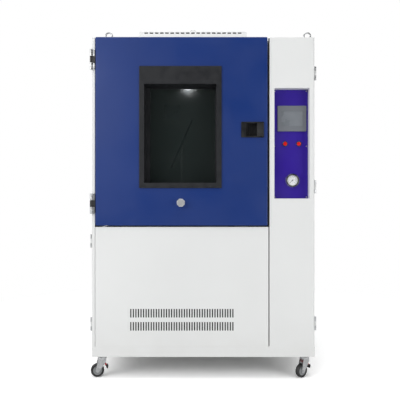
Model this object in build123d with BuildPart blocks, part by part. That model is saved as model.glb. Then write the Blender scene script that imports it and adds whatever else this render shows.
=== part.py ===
from build123d import *
from math import cos, radians, sin
import os

os.makedirs("parts", exist_ok=True)

# Cabinet, in millimetres: origin on the floor under the middle, front towards -Y, up is +Z
body_width = 1240
body_depth = 1100
front_y = -540
roof_z = 1906
caster_height = 128
plinth_height = 57
sheet = 2
left_x = -body_width / 2
right_x = body_width / 2
back_y = front_y + body_depth
deck_z = caster_height + plinth_height
rail_width = 50
rail_wall = 3
strip_width = 16
return_width = 20

# Door and the face that its gasket meets
door_left_offset = 20
door_width = 956
door_height = 1047
door_proud = 10
slab_depth = 60
plug_depth = 50
gasket_depth = 10
gasket_width = 14
plug_gap = 12
door_corner = 7
door_edge_r = 5
plug_corner = 12
door_x0 = left_x + door_left_offset
door_x1 = door_x0 + door_width
door_z0 = roof_z - door_height
door_cx = (door_x0 + door_x1) / 2
door_front = front_y - door_proud
slab_back = door_front + slab_depth
plug_back = slab_back + plug_depth
face_y = slab_back + gasket_depth

# Chamber behind the door
cavity_width = 800
cavity_height = 900
cavity_depth = 800
sill_height = 71
cavity_x0 = door_cx - cavity_width / 2
cavity_x1 = door_cx + cavity_width / 2
cavity_y1 = face_y + cavity_depth
cavity_z0 = door_z0 + sill_height
cavity_z1 = cavity_z0 + cavity_height
cavity_cy = face_y + cavity_depth / 2
foam_back = 78

# Control column
door_gap = 12
column_x = door_x1 + door_gap
column_corner = 12
recess_width = 196
recess_height = 615
recess_depth = 42
recess_cx = 493
recess_cz = 1316.5
recess_lip = 8
plate_thick = 3
recess_gap = 1

# Clearances
seat_gap = 0.3
running_gap = 0.05
fit_gap = 0.5
seam_gap = 0.1


def front(y):
    """The upright plane at y, drawn as X to the right and Z up, facing the viewer."""
    return Plane.XZ.offset(-y)


def side(x):
    """The upright plane at x, drawn as Y to the right and Z up, facing +X."""
    return Plane.YZ.offset(x)


def level(z):
    """The level plane at z."""
    return Plane.XY.offset(z)


def span(u0, u1, v0, v1, mode=Mode.ADD):
    """A rectangle between two pairs of coordinates of the sketch plane."""
    with Locations(((u0 + u1) / 2, (v0 + v1) / 2)):
        Rectangle(abs(u1 - u0), abs(v1 - v0), mode=mode)


def save(piece, name):
    """Labels a finished piece and writes its file."""
    piece.part.label = name
    export_step(piece.part, f"parts/{name}.step")


# Plinth: a channel ring open to the inside, with corner plates for the casters and the floor pan on top
caster_x = 575
caster_inset_y = 62
corner_plate = 90
caster_hole_r = 4.3
caster_hole_x = 72
caster_hole_y = 58
caster_points = [
    (x, y) for y in (front_y + caster_inset_y, back_y - caster_inset_y) for x in (-caster_x, caster_x)
]
pan_gap = 4
pan_side = return_width + pan_gap

with BuildPart() as base_frame:
    with BuildSketch(level(caster_height)):
        span(left_x, right_x, front_y, back_y)
        span(left_x + rail_width, right_x - rail_width, front_y + rail_width, back_y - rail_width,
             mode=Mode.SUBTRACT)
    extrude(amount=plinth_height)
    with BuildSketch(level(caster_height + rail_wall)):
        span(left_x + rail_wall, right_x - rail_wall, front_y + rail_wall, back_y - rail_wall)
    extrude(amount=plinth_height - 2 * rail_wall, mode=Mode.SUBTRACT)
    with BuildSketch(level(caster_height)):
        with Locations(*caster_points):
            Rectangle(corner_plate, corner_plate)
    extrude(amount=rail_wall)
    with BuildSketch(level(caster_height)):
        for x, y in caster_points:
            with Locations((x, y)):
                with GridLocations(caster_hole_x, caster_hole_y, 2, 2):
                    Circle(caster_hole_r)
    extrude(amount=rail_wall, mode=Mode.SUBTRACT)
    with BuildSketch(level(deck_z)):
        span(left_x + pan_side, right_x - pan_side, face_y + pan_gap, back_y - 2 * sheet - pan_gap)
    extrude(amount=sheet)
save(base_frame, "base_frame")

# Side service doors and the openings that they fill
service_edge_gap = 2
service_depth = 22
service_setback = 85
service_back_margin = 60
left_service_z0 = 225
left_service_z1 = 835
right_service_z0 = 225
right_service_z1 = 1866
service_y0 = front_y + service_setback
service_y1 = back_y - service_back_margin

# Cable port through the left wall into the chamber
port_bore_r = 25
port_wall = 3
port_y = -40
port_z = 1400
port_flange_r = 42
port_flange = 5

# The left side is two sheets, which meet at the height of the chamber's deck
side_seam_z = door_z0 - sheet

with BuildPart() as left_side_panel:
    for z0, z1 in ((deck_z, side_seam_z), (side_seam_z + seam_gap, roof_z - sheet)):
        with BuildSketch(level(z0)):
            span(left_x, left_x + sheet, front_y, back_y - sheet)
            span(left_x, left_x + strip_width, front_y, front_y + sheet)
            span(left_x, left_x + return_width, back_y - 2 * sheet, back_y - sheet)
        extrude(amount=z1 - z0)
    with BuildSketch(level(roof_z - sheet)):
        span(left_x, left_x + strip_width, front_y, face_y)
    extrude(amount=sheet)
    with BuildSketch(side(left_x)):
        span(service_y0 - service_edge_gap, service_y1 + service_edge_gap,
             left_service_z0 - service_edge_gap, left_service_z1 + service_edge_gap)
        with Locations((port_y, port_z)):
            Circle(port_bore_r + port_wall + fit_gap)
    extrude(amount=sheet, mode=Mode.SUBTRACT)
save(left_side_panel, "left_side_panel")

with BuildPart() as right_side_panel:
    with BuildSketch(level(deck_z)):
        span(right_x - sheet, right_x, face_y, back_y - sheet)
        span(right_x - return_width, right_x, face_y, face_y + sheet)
        span(right_x - return_width, right_x, back_y - 2 * sheet, back_y - sheet)
    extrude(amount=roof_z - sheet - deck_z)
    with BuildSketch(side(right_x)):
        span(service_y0 - service_edge_gap, service_y1 + service_edge_gap,
             right_service_z0 - service_edge_gap, right_service_z1 + service_edge_gap)
    extrude(amount=-sheet, mode=Mode.SUBTRACT)
save(right_side_panel, "right_side_panel")

# Rear panel with two blocks of vent slots, the exhaust collar and the hole for the power gland
collar_r = 40
collar_wall = 2
collar_flange = 14
collar_length = 30
collar_x = 180
collar_z = 320
gland_x = 500
gland_z = 300
gland_hole_r = 16
rear_slot_width = 8
rear_slot_height = 60
rear_slot_pitch = 22
rear_slot_x = (-330, 495)
rear_slot_counts = (14, 9)
rear_slot_z = (620, 1600)

with BuildPart() as rear_panel:
    with BuildSketch(front(back_y)):
        span(left_x, right_x, deck_z, roof_z - sheet)
        for x, z, count in zip(rear_slot_x, rear_slot_z, rear_slot_counts):
            with Locations((x, z)):
                with GridLocations(rear_slot_pitch, rear_slot_height, count, 1):
                    Rectangle(rear_slot_width, rear_slot_height, mode=Mode.SUBTRACT)
        with Locations((collar_x, collar_z)):
            Circle(collar_r - collar_wall, mode=Mode.SUBTRACT)
        with Locations((gland_x, gland_z)):
            Circle(gland_hole_r + fit_gap, mode=Mode.SUBTRACT)
    extrude(amount=sheet)
    with BuildSketch(front(back_y + seam_gap)):
        with Locations((collar_x, collar_z)):
            Circle(collar_r + collar_flange)
            Circle(collar_r - collar_wall, mode=Mode.SUBTRACT)
    extrude(amount=-collar_wall)
    with BuildSketch(front(back_y + seam_gap)):
        with Locations((collar_x, collar_z)):
            Circle(collar_r)
            Circle(collar_r - collar_wall, mode=Mode.SUBTRACT)
    extrude(amount=-collar_length)
save(rear_panel, "rear_panel")

# Roof with the opening under the hood and the holes of the lifting eyes
hood_width = 654
hood_depth = 300
hood_height = 100
hood_cx = -61
hood_setback = 200
hood_taper = 4
hood_wall = 2
hood_cy = front_y + hood_setback + hood_depth / 2
hood_foot = 20
eye_shank_r = 5.8
eye_left_x = -540
eye_right_x = 595
eye_inset_y = 85
eye_front_y = front_y + eye_inset_y
eye_back_y = back_y - eye_inset_y
eye_points = [(x, y) for y in (eye_front_y, eye_back_y) for x in (eye_left_x, eye_right_x)]

with BuildPart() as roof_panel:
    with BuildSketch(level(roof_z - sheet)):
        span(left_x, right_x, face_y, back_y)
        with Locations((hood_cx, hood_cy)):
            Rectangle(hood_width / 2, hood_depth / 2, mode=Mode.SUBTRACT)
        with Locations(*eye_points):
            Circle(eye_shank_r + running_gap, mode=Mode.SUBTRACT)
    extrude(amount=sheet)
save(roof_panel, "roof_panel")

# Hood over the roof opening: tapered box with a row of slots along the top of its front and back
hood_slot_width = 21
hood_slot_height = 8
hood_slot_pitch = 31
hood_slot_count = 19
hood_slot_z = roof_z + hood_height - 8
staple_width = 34
staple_rise = 15
staple_wire_r = 2.5
staple_bolt_r = 3.5
staple_inset = 18

with BuildPart() as roof_hood:
    with BuildSketch(level(roof_z)):
        with Locations((hood_cx, hood_cy)):
            Rectangle(hood_width, hood_depth)
    extrude(amount=hood_height, taper=hood_taper)
    offset(amount=-hood_wall, openings=roof_hood.faces().sort_by(Axis.Z)[0])
    with BuildSketch(front(hood_cy)):
        with Locations((hood_cx, hood_slot_z)):
            with GridLocations(hood_slot_pitch, hood_slot_height, hood_slot_count, 1):
                Rectangle(hood_slot_width, hood_slot_height)
    extrude(amount=hood_depth, both=True, mode=Mode.SUBTRACT)
    with BuildSketch(level(roof_z)):
        with Locations((hood_cx, hood_cy)):
            Rectangle(hood_width + 2 * hood_foot, hood_depth + 2 * hood_foot)
            Rectangle(hood_width - 2 * hood_wall, hood_depth - 2 * hood_wall, mode=Mode.SUBTRACT)
    extrude(amount=hood_wall)
    staple_y = hood_cy - hood_depth / 2 + staple_inset
    with BuildLine(front(staple_y)) as staple_line:
        foot_z = roof_z + hood_height - hood_wall
        top_z = roof_z + hood_height + staple_rise - staple_wire_r
        half = staple_width / 2 - staple_wire_r
        FilletPolyline((hood_cx - half, foot_z), (hood_cx - half, top_z),
                       (hood_cx + half, top_z), (hood_cx + half, foot_z), radius=half * 0.7)
    with BuildSketch(Plane(origin=staple_line.line @ 0, z_dir=staple_line.line % 0)):
        Circle(staple_wire_r)
    sweep()
    with BuildSketch(level(roof_z + hood_height - hood_wall)):
        with Locations((hood_cx, staple_y)):
            Circle(staple_bolt_r)
    extrude(amount=staple_rise + hood_wall - staple_wire_r)
save(roof_hood, "roof_hood")

# Lifting eyes: ring on a collar and a shank through the roof sheet
ring_inner_r = 14
ring_wire_r = 4.5
ring_rise = 34
eye_collar_r = 13
eye_collar = 12
eye_taper = 12
eye_turn = 50
nut_depth = sheet + 1

with BuildPart() as lifting_eyes:
    for x, y in eye_points:
        with BuildSketch(level(roof_z)):
            with Locations((x, y)):
                Circle(eye_collar_r)
        extrude(amount=eye_collar, taper=eye_taper)
        with BuildSketch(level(roof_z)):
            with Locations((x, y)):
                Circle(eye_shank_r)
        extrude(amount=-nut_depth)
        with Locations(Location((x, y, roof_z + ring_rise), (90, 0, eye_turn))):
            Torus(ring_inner_r + ring_wire_r, ring_wire_r)
save(lifting_eyes, "lifting_eyes")

# Control column front: folded sheet with the recess for the panel and the strike in its left return
recess_x0 = recess_cx - recess_width / 2
recess_x1 = recess_cx + recess_width / 2
recess_z0 = recess_cz - recess_height / 2
recess_z1 = recess_cz + recess_height / 2
recess_back = front_y + recess_depth + plate_thick
latch_cx = 272
latch_cz = 1391
strike_depth = 1.5
strike_height = 60
strike_side_gap = 2
bolt_height = 20
bolt_depth = 12
bolt_inset = 37
bolt_y = door_front + bolt_inset

with BuildPart() as column_front:
    with BuildSketch(level(deck_z)):
        span(column_x, right_x, front_y, face_y)
    extrude(amount=roof_z - deck_z)
    fillet(column_front.edges().filter_by(Axis.Z).group_by(Axis.Y)[0].sort_by(Axis.X)[-1], column_corner)
    offset(amount=-sheet, openings=column_front.faces().sort_by(Axis.Y)[-1])
    with BuildSketch(front(front_y)):
        span(recess_x0 - sheet, recess_x1 + sheet, recess_z0 - sheet, recess_z1 + sheet)
    extrude(amount=-(recess_depth + plate_thick + sheet))
    with BuildSketch(front(front_y)):
        span(recess_x0, recess_x1, recess_z0, recess_z1)
    extrude(amount=-(recess_depth + plate_thick), mode=Mode.SUBTRACT)
    with BuildSketch(front(recess_back)):
        span(recess_x0 + recess_lip, recess_x1 - recess_lip, recess_z0 + recess_lip, recess_z1 - recess_lip)
    extrude(amount=-sheet, mode=Mode.SUBTRACT)
    with BuildSketch(side(column_x)):
        with Locations((bolt_y, latch_cz)):
            Rectangle(2 * bolt_depth, strike_height)
    extrude(amount=-strike_depth)
    with BuildSketch(side(column_x + sheet)):
        with Locations((bolt_y, latch_cz)):
            Rectangle(bolt_depth + 2 * strike_side_gap, bolt_height + 3 * strike_side_gap)
    extrude(amount=-(sheet + strike_depth), mode=Mode.SUBTRACT)
save(column_front, "column_front")

# Upright partition between chamber and electrical column, and the deck that carries the chamber
partition_x = column_x - sheet
deck_sheet_z = door_z0 - sheet
hopper_outlet_r = 50
hopper_bottom_z = 640
hopper_collar = 36
hopper_wall = 2
deck_hole_gap = 4
foam_z0 = door_z0 + sheet
hopper_share = (cavity_z0 - foam_z0) / (cavity_z0 - hopper_bottom_z)
hopper_top = cavity_width + 2 * hopper_wall
deck_hole = hopper_top - hopper_share * (cavity_width - 2 * hopper_outlet_r) + 2 * deck_hole_gap
hopper_cy = cavity_cy + sheet
foam_y1 = cavity_y1 + foam_back

with BuildPart() as inner_partitions:
    with BuildSketch(level(deck_z + sheet)):
        span(partition_x, partition_x + sheet, face_y, back_y - sheet)
    extrude(amount=roof_z - 2 * sheet - deck_z)
    with BuildSketch(level(foam_z0 - sheet)):
        span(left_x + sheet, partition_x, face_y + sheet, foam_y1)
        with Locations((door_cx, hopper_cy)):
            Rectangle(deck_hole, deck_hole, mode=Mode.SUBTRACT)
    extrude(amount=sheet)
save(inner_partitions, "inner_partitions")

# Vented cover below the door
cover_gap = 8
cover_side_gap = 2
cover_x0 = left_x + strip_width + cover_side_gap
cover_x1 = partition_x - 2 * cover_side_gap
cover_z0 = deck_z + seat_gap
cover_z1 = door_z0 - cover_gap
vent_cx = -120
vent_pitch = 14.2
vent_count = 41
vent_width = 7
vent_height = 48
vent_rows_z = (371, 298)

with BuildPart() as lower_front_panel:
    with BuildSketch(front(front_y)):
        span(cover_x0, cover_x1, cover_z0, cover_z1)
    extrude(amount=-return_width)
    offset(amount=-sheet, openings=lower_front_panel.faces().sort_by(Axis.Y)[-1])
    with BuildSketch(front(front_y)):
        for z in vent_rows_z:
            with Locations((vent_cx, z)):
                with GridLocations(vent_pitch, vent_height, vent_count, 1):
                    Rectangle(vent_width, vent_height)
    extrude(amount=-sheet, mode=Mode.SUBTRACT)
save(lower_front_panel, "lower_front_panel")

# Stainless liner of separate sheets, seam-welded: walls, the frame that the door gasket meets, shelf rails
duct_width = 120
duct_depth = 100
duct_x0 = -282
duct_x1 = duct_x0 + duct_width
duct_mouth_z0 = 1590
duct_mouth_z1 = 1690
duct_wall = 2
shelf_rail_rise = 12
shelf_rail_z = cavity_z0 + shelf_rail_rise
shelf_rail_width = 24
shelf_rail_length = 700
shelf_front_gap = 60
liner_face_z1 = roof_z - sheet

with BuildPart() as chamber_liner:
    with BuildSketch(front(face_y + sheet + seam_gap)):
        span(cavity_x0 - sheet, cavity_x0, cavity_z0, cavity_z1 - seam_gap)
        span(cavity_x1, cavity_x1 + sheet, cavity_z0, cavity_z1 - seam_gap)
        span(cavity_x0 - sheet, cavity_x1 + sheet, cavity_z1, cavity_z1 + sheet)
    extrude(amount=-(cavity_depth - sheet - 2 * seam_gap))
    with BuildSketch(front(cavity_y1)):
        span(cavity_x0 - sheet, cavity_x1 + sheet, cavity_z0, cavity_z1 + sheet)
        span(duct_x0, duct_x1, duct_mouth_z0, duct_mouth_z1, mode=Mode.SUBTRACT)
    extrude(amount=-sheet)
    with BuildSketch(front(face_y)):
        span(left_x + sheet, cavity_x0, door_z0, liner_face_z1)
        span(cavity_x1, partition_x, door_z0, liner_face_z1)
        span(cavity_x0 + seam_gap, cavity_x1 - seam_gap, cavity_z1, liner_face_z1)
        span(cavity_x0 + seam_gap, cavity_x1 - seam_gap, door_z0, cavity_z0)
    extrude(amount=-sheet)
    with BuildSketch(side(cavity_x0)):
        with Locations((port_y, port_z)):
            Circle(port_bore_r + port_wall + fit_gap)
    extrude(amount=-sheet, mode=Mode.SUBTRACT)
    with BuildSketch(front(face_y + shelf_front_gap)):
        for x, way in ((cavity_x0, 1), (cavity_x1, -1)):
            wall = x + way * seam_gap
            inner = x + way * shelf_rail_width
            span(min(wall, inner), max(wall, inner), shelf_rail_z - sheet, shelf_rail_z)
    extrude(amount=-shelf_rail_length)
save(chamber_liner, "chamber_liner")

# Hopper that gathers the dust under the chamber
with BuildPart() as dust_hopper:
    with BuildSketch(level(cavity_z0)):
        with Locations((door_cx, hopper_cy)):
            Rectangle(cavity_width + 2 * hopper_wall, cavity_depth)
    with BuildSketch(level(hopper_bottom_z)):
        with Locations((door_cx, cavity_cy)):
            Rectangle(2 * hopper_outlet_r + 2 * hopper_wall, 2 * hopper_outlet_r + 2 * hopper_wall)
    loft(ruled=True)
    with BuildSketch(level(hopper_bottom_z)):
        with Locations((door_cx, cavity_cy)):
            Rectangle(2 * hopper_outlet_r + 2 * hopper_wall, 2 * hopper_outlet_r + 2 * hopper_wall)
    extrude(amount=-hopper_collar)
    hopper_ends = [dust_hopper.faces().sort_by(Axis.Z)[0], dust_hopper.faces().sort_by(Axis.Z)[-1]]
    offset(amount=-hopper_wall, openings=hopper_ends)
save(dust_hopper, "dust_hopper")

# Insulation: one foam block around the liner
foam_gap = 2
foam_x0 = left_x + sheet + foam_gap
foam_x1 = partition_x - foam_gap
foam_z1 = roof_z - sheet - foam_gap

with BuildPart() as insulation:
    with BuildSketch(level(foam_z0)):
        span(foam_x0, foam_x1, face_y + sheet, foam_y1)
    extrude(amount=foam_z1 - foam_z0)
    with BuildSketch(level(cavity_z0)):
        span(cavity_x0 - sheet, cavity_x1 + sheet, face_y + sheet, cavity_y1 + sheet)
    extrude(amount=cavity_height + sheet, mode=Mode.SUBTRACT)
    with BuildSketch(level(cavity_z0)):
        with Locations((door_cx, hopper_cy)):
            Rectangle(cavity_width + 4 * hopper_wall, cavity_depth + 2 * hopper_wall)
    with BuildSketch(level(hopper_bottom_z)):
        with Locations((door_cx, cavity_cy)):
            Rectangle(2 * hopper_outlet_r + 4 * hopper_wall, 2 * hopper_outlet_r + 4 * hopper_wall)
    loft(ruled=True, mode=Mode.SUBTRACT)
    with BuildSketch(front(cavity_y1)):
        span(duct_x0 - duct_wall - fit_gap, duct_x1 + duct_wall + fit_gap,
             duct_mouth_z0 - duct_wall - fit_gap, duct_mouth_z1 + duct_wall + fit_gap)
    extrude(amount=-(foam_back + sheet), mode=Mode.SUBTRACT)
    with BuildSketch(side(foam_x0)):
        with Locations((port_y, port_z)):
            Circle(port_bore_r + port_wall + fit_gap)
    extrude(amount=cavity_x0 - foam_x0, mode=Mode.SUBTRACT)
save(insulation, "insulation")

# Shelf: grid of round bars in a flat-bar frame, resting on the rails
shelf_side_gap = 4
shelf_setback = 10
shelf_length = 680
shelf_bar = 14
shelf_bar_thick = 5
shelf_rod_r = 3
shelf_rod_count = 15
shelf_x0 = cavity_x0 + shelf_side_gap
shelf_x1 = cavity_x1 - shelf_side_gap
shelf_y0 = face_y + shelf_front_gap + shelf_setback
shelf_y1 = shelf_y0 + shelf_length

with BuildPart() as shelf:
    with BuildSketch(level(shelf_rail_z)):
        span(shelf_x0, shelf_x1, shelf_y0, shelf_y1)
        span(shelf_x0 + shelf_bar_thick, shelf_x1 - shelf_bar_thick,
             shelf_y0 + shelf_bar_thick, shelf_y1 - shelf_bar_thick, mode=Mode.SUBTRACT)
    extrude(amount=shelf_bar)
    with BuildSketch(front(shelf_y0 + shelf_bar_thick)):
        with Locations(((shelf_x0 + shelf_x1) / 2, shelf_rail_z + shelf_bar / 2)):
            with GridLocations((shelf_x1 - shelf_x0) / (shelf_rod_count + 1), shelf_bar, shelf_rod_count, 1):
                RegularPolygon(shelf_rod_r, 8)
    extrude(amount=-(shelf_length - 2 * shelf_bar_thick))
save(shelf, "shelf")

# Lamp on the chamber ceiling
lamp_x = -104
lamp_y = 250
lamp_base_r = 50
lamp_base = 12
lamp_dome_r = 40
lamp_drop = 46
dome_depth = lamp_drop - lamp_base
dome_ball_r = (lamp_dome_r ** 2 + dome_depth ** 2) / (2 * dome_depth)

with BuildPart() as chamber_lamp:
    with BuildSketch(Plane(origin=(lamp_x, lamp_y, 0), x_dir=(1, 0, 0), z_dir=(0, -1, 0))):
        with BuildLine():
            ceiling = cavity_z1
            Polyline((0, ceiling), (lamp_base_r, ceiling), (lamp_base_r, ceiling - lamp_base),
                     (lamp_dome_r, ceiling - lamp_base))
            RadiusArc((lamp_dome_r, ceiling - lamp_base), (0, ceiling - lamp_drop), dome_ball_r)
            Line((0, ceiling - lamp_drop), (0, ceiling))
        make_face()
    revolve(axis=Axis((lamp_x, lamp_y, 0), (0, 0, 1)))
save(chamber_lamp, "chamber_lamp")

# Blower under the hopper: motor on the floor pan, scroll housing on the motor, impeller in the scroll
blower_z0 = 470
housing_gap = 4
blower_height = hopper_bottom_z - hopper_collar - blower_z0 - housing_gap
scroll_r = 160
scroll_wall = 3
scroll_growth = 12
scroll_eye_gap = 10
impeller_r = 112
impeller_disc = 4
blade_height = 70
blade_count = 12
blade_thick = 3
blade_length = 44
blade_slant = 55
blade_pitch_r = 88
impeller_lift = 20
shaft_r = 12
hub_r = 26
hub_height = 30
hub_taper = 8
shaft_end_gap = 2
motor_r = 80
motor_foot = 210
motor_foot_thick = 6
motor_foot_corner = 15
motor_fins = 16
fin_height = 8
fin_thick = 5
bearing_depth = 30
duct_foam_gap = 2
scroll_outlet_y = foam_y1 + duct_foam_gap

with BuildPart() as blower_housing:
    with BuildSketch(level(blower_z0)):
        with Locations((door_cx, cavity_cy)):
            Circle(scroll_r)
        span(door_cx - scroll_r, duct_x1 + scroll_growth, cavity_cy, cavity_cy + scroll_r)
        span(duct_x0, duct_x1, cavity_cy, scroll_outlet_y)
    extrude(amount=blower_height)
    blower_mouth = blower_housing.faces().sort_by(Axis.Y)[-1]
    offset(amount=-scroll_wall, openings=blower_mouth)
    with BuildSketch(level(blower_z0 + blower_height - scroll_wall)):
        with Locations((door_cx, cavity_cy)):
            Circle(hopper_outlet_r + scroll_eye_gap)
    extrude(amount=scroll_wall, mode=Mode.SUBTRACT)
    with BuildSketch(level(blower_z0)):
        with Locations((door_cx, cavity_cy)):
            Circle(shaft_r + fit_gap)
    extrude(amount=scroll_wall, mode=Mode.SUBTRACT)
save(blower_housing, "blower_housing")

with BuildPart() as blower_motor:
    with BuildSketch(level(deck_z + sheet)):
        with Locations((door_cx, cavity_cy)):
            RectangleRounded(motor_foot, motor_foot, motor_foot_corner)
    extrude(amount=motor_foot_thick)
    with BuildSketch(level(deck_z + sheet)):
        with Locations((door_cx, cavity_cy)):
            Circle(motor_r)
            with PolarLocations(motor_r, motor_fins):
                Rectangle(2 * fin_height, fin_thick)
    extrude(amount=blower_z0 - deck_z - sheet)
    with BuildSketch(level(blower_z0)):
        with Locations((door_cx, cavity_cy)):
            Circle(shaft_r + running_gap)
    extrude(amount=-bearing_depth, mode=Mode.SUBTRACT)
save(blower_motor, "blower_motor")

with BuildPart() as blower_impeller:
    impeller_z = blower_z0 + scroll_wall + impeller_lift
    with BuildSketch(level(impeller_z)):
        with Locations((door_cx, cavity_cy)):
            Circle(impeller_r)
    extrude(amount=impeller_disc)
    with BuildSketch(level(impeller_z)):
        with Locations((door_cx, cavity_cy)):
            Circle(hub_r)
    extrude(amount=impeller_disc + hub_height, taper=hub_taper)
    with BuildSketch(level(impeller_z + impeller_disc)):
        with Locations((door_cx, cavity_cy)):
            with PolarLocations(blade_pitch_r, blade_count):
                Rectangle(blade_length, blade_thick, rotation=blade_slant)
    extrude(amount=blade_height)
    with BuildSketch(level(impeller_z)):
        with Locations((door_cx, cavity_cy)):
            Circle(shaft_r)
    extrude(amount=-(impeller_lift + scroll_wall + bearing_depth - shaft_end_gap))
save(blower_impeller, "blower_impeller")

# Riser duct behind the insulation, from the blower's mouth to the top of the chamber
duct_y0 = scroll_outlet_y + seat_gap
duct_y1 = duct_y0 + duct_depth
duct_top_z = duct_mouth_z1 + duct_wall

with BuildPart() as riser_duct:
    with BuildSketch(level(blower_z0)):
        span(duct_x0 - duct_wall, duct_x1 + duct_wall, duct_y0, duct_y1)
    extrude(amount=duct_top_z - blower_z0)
    with BuildSketch(level(blower_z0 + duct_wall)):
        span(duct_x0, duct_x1, duct_y0 + duct_wall, duct_y1 - duct_wall)
    extrude(amount=duct_top_z - blower_z0 - 2 * duct_wall, mode=Mode.SUBTRACT)
    with BuildSketch(front(duct_y0)):
        span(duct_x0 - duct_wall, duct_x1 + duct_wall, duct_mouth_z0 - duct_wall, duct_top_z)
    extrude(amount=duct_y0 - cavity_y1 - sheet)
    with BuildSketch(front(duct_y0 + duct_wall)):
        span(duct_x0, duct_x1, duct_mouth_z0, duct_mouth_z1)
    extrude(amount=duct_y0 + duct_wall - cavity_y1 - sheet, mode=Mode.SUBTRACT)
    with BuildSketch(front(duct_y0)):
        span(duct_x0 + scroll_wall, duct_x1 - scroll_wall, blower_z0 + scroll_wall,
             blower_z0 + blower_height - scroll_wall)
    extrude(amount=-duct_wall, mode=Mode.SUBTRACT)
save(riser_duct, "riser_duct")

# Cable port: flanged tube from the outside into the chamber
with BuildPart() as cable_port:
    with BuildSketch(side(left_x - port_flange)):
        with Locations((port_y, port_z)):
            Circle(port_flange_r)
    extrude(amount=port_flange)
    with BuildSketch(side(left_x)):
        with Locations((port_y, port_z)):
            Circle(port_bore_r + port_wall)
    extrude(amount=cavity_x0 - left_x)
    with BuildSketch(side(left_x - port_flange)):
        with Locations((port_y, port_z)):
            Circle(port_bore_r)
    extrude(amount=cavity_x0 - left_x + port_flange, mode=Mode.SUBTRACT)
    fillet(cable_port.faces().sort_by(Axis.X)[0].edges().sort_by(SortBy.LENGTH)[-1], 2)
save(cable_port, "cable_port")

# Power gland in the rear panel: hexagon, domed nut and a bore for the supply cable
gland_bore_r = 9
gland_hex_r = 22
gland_hex = 8
gland_dome = 20
gland_step = 4
gland_reach = 2 * sheet + 10

with BuildPart() as power_gland:
    with BuildSketch(front(back_y)):
        with Locations((gland_x, gland_z)):
            RegularPolygon(gland_hex_r, 6)
    extrude(amount=-gland_hex)
    with BuildSketch(front(back_y + gland_hex)):
        with Locations((gland_x, gland_z)):
            Circle(gland_hex_r - gland_step)
    extrude(amount=-gland_dome, taper=14)
    with BuildSketch(front(back_y)):
        with Locations((gland_x, gland_z)):
            Circle(gland_hole_r)
    extrude(amount=gland_reach)
    with BuildSketch(front(back_y - gland_reach)):
        with Locations((gland_x, gland_z)):
            Circle(gland_bore_r)
    extrude(amount=-(gland_reach + gland_hex + gland_dome), mode=Mode.SUBTRACT)
save(power_gland, "power_gland")

# Window: charcoal bezel with its tunnel through the door
bezel_width = 457
bezel_height = 676
bezel_cx = -127.5
bezel_cz = 1405
bezel_proud = 6
bezel_corner = 5
window_width = 401
window_height = 548
window_cx = -128.5
window_cz = 1370
tunnel_wall = 3
glass_thick = 8
glass_rim = 12
ledge = 5
ledge_left = 24
ledge_depth = 6
window_x0 = window_cx - window_width / 2
window_x1 = window_cx + window_width / 2
window_z0 = window_cz - window_height / 2
window_z1 = window_cz + window_height / 2
glass_y = plug_back - glass_thick
glass_x0 = window_x0 - glass_rim
glass_x1 = window_x1 + glass_rim
glass_z0 = window_z0 - glass_rim
glass_z1 = window_z1 + glass_rim

# Latch pocket and wiper shaft in the door
latch_width = 126
latch_height = 87
latch_proud = 4
latch_pan_margin = 6
latch_depth = 30
pan_x0 = latch_cx - latch_width / 2 + latch_pan_margin
pan_x1 = latch_cx + latch_width / 2 - latch_pan_margin
pan_z0 = latch_cz - latch_height / 2 + latch_pan_margin
pan_z1 = latch_cz + latch_height / 2 - latch_pan_margin
wiper_x = -124.5
wiper_z = 986
wiper_shaft_r = 6


def window_hole(gap):
    """The tunnel's outline, with a gap around it."""
    reach = tunnel_wall + gap
    span(window_x0 - reach, window_x1 + reach, window_z0 - reach, window_z1 + reach)


def latch_hole(gap):
    """The latch pan's outline, with a gap around it."""
    span(pan_x0 - gap, pan_x1 + gap, pan_z0 - gap, pan_z1 + gap)


with BuildPart() as door_skin:
    with BuildSketch(front(door_front)):
        span(door_x0, door_x1, door_z0, roof_z)
    extrude(amount=-slab_depth)
    fillet(door_skin.edges().filter_by(Axis.Y), door_corner)
    fillet(door_skin.faces().sort_by(Axis.Y)[0].edges(), door_edge_r)
    offset(amount=-sheet, openings=door_skin.faces().sort_by(Axis.Y)[-1])
    with BuildSketch(front(door_front)):
        window_hole(fit_gap)
        latch_hole(fit_gap)
        with Locations((wiper_x, wiper_z)):
            Circle(wiper_shaft_r + running_gap)
    extrude(amount=-sheet, mode=Mode.SUBTRACT)
    with BuildSketch(side(door_x1)):
        with Locations((bolt_y, latch_cz)):
            Rectangle(bolt_depth + 1, bolt_height + 1)
    extrude(amount=-sheet, mode=Mode.SUBTRACT)
save(door_skin, "door_skin")

# Inner door: back sheet and the plug that enters the chamber mouth
plug_x0 = cavity_x0 + plug_gap
plug_x1 = cavity_x1 - plug_gap
plug_z0 = cavity_z0 + plug_gap
plug_z1 = cavity_z1 - plug_gap
inner_edge = sheet + 1

with BuildPart() as door_inner_panel:
    with BuildSketch(front(slab_back)):
        span(plug_x0, plug_x1, plug_z0, plug_z1)
    extrude(amount=-plug_depth)
    fillet(door_inner_panel.edges().filter_by(Axis.Y), plug_corner)
    offset(amount=-sheet, openings=door_inner_panel.faces().sort_by(Axis.Y)[0])
    with BuildSketch(front(slab_back - sheet)):
        with Locations((door_cx, roof_z - door_height / 2)):
            RectangleRounded(door_width - 2 * inner_edge, door_height - 2 * inner_edge, door_corner)
        span(plug_x0 + sheet, plug_x1 - sheet, plug_z0 + sheet, plug_z1 - sheet, mode=Mode.SUBTRACT)
    extrude(amount=-sheet)
    with BuildSketch(front(plug_back)):
        span(glass_x0 - fit_gap, glass_x1 + fit_gap, glass_z0 - fit_gap, glass_z1 + fit_gap)
        with Locations((wiper_x, wiper_z)):
            Circle(wiper_shaft_r + running_gap)
    extrude(amount=sheet, mode=Mode.SUBTRACT)
save(door_inner_panel, "door_inner_panel")

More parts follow.
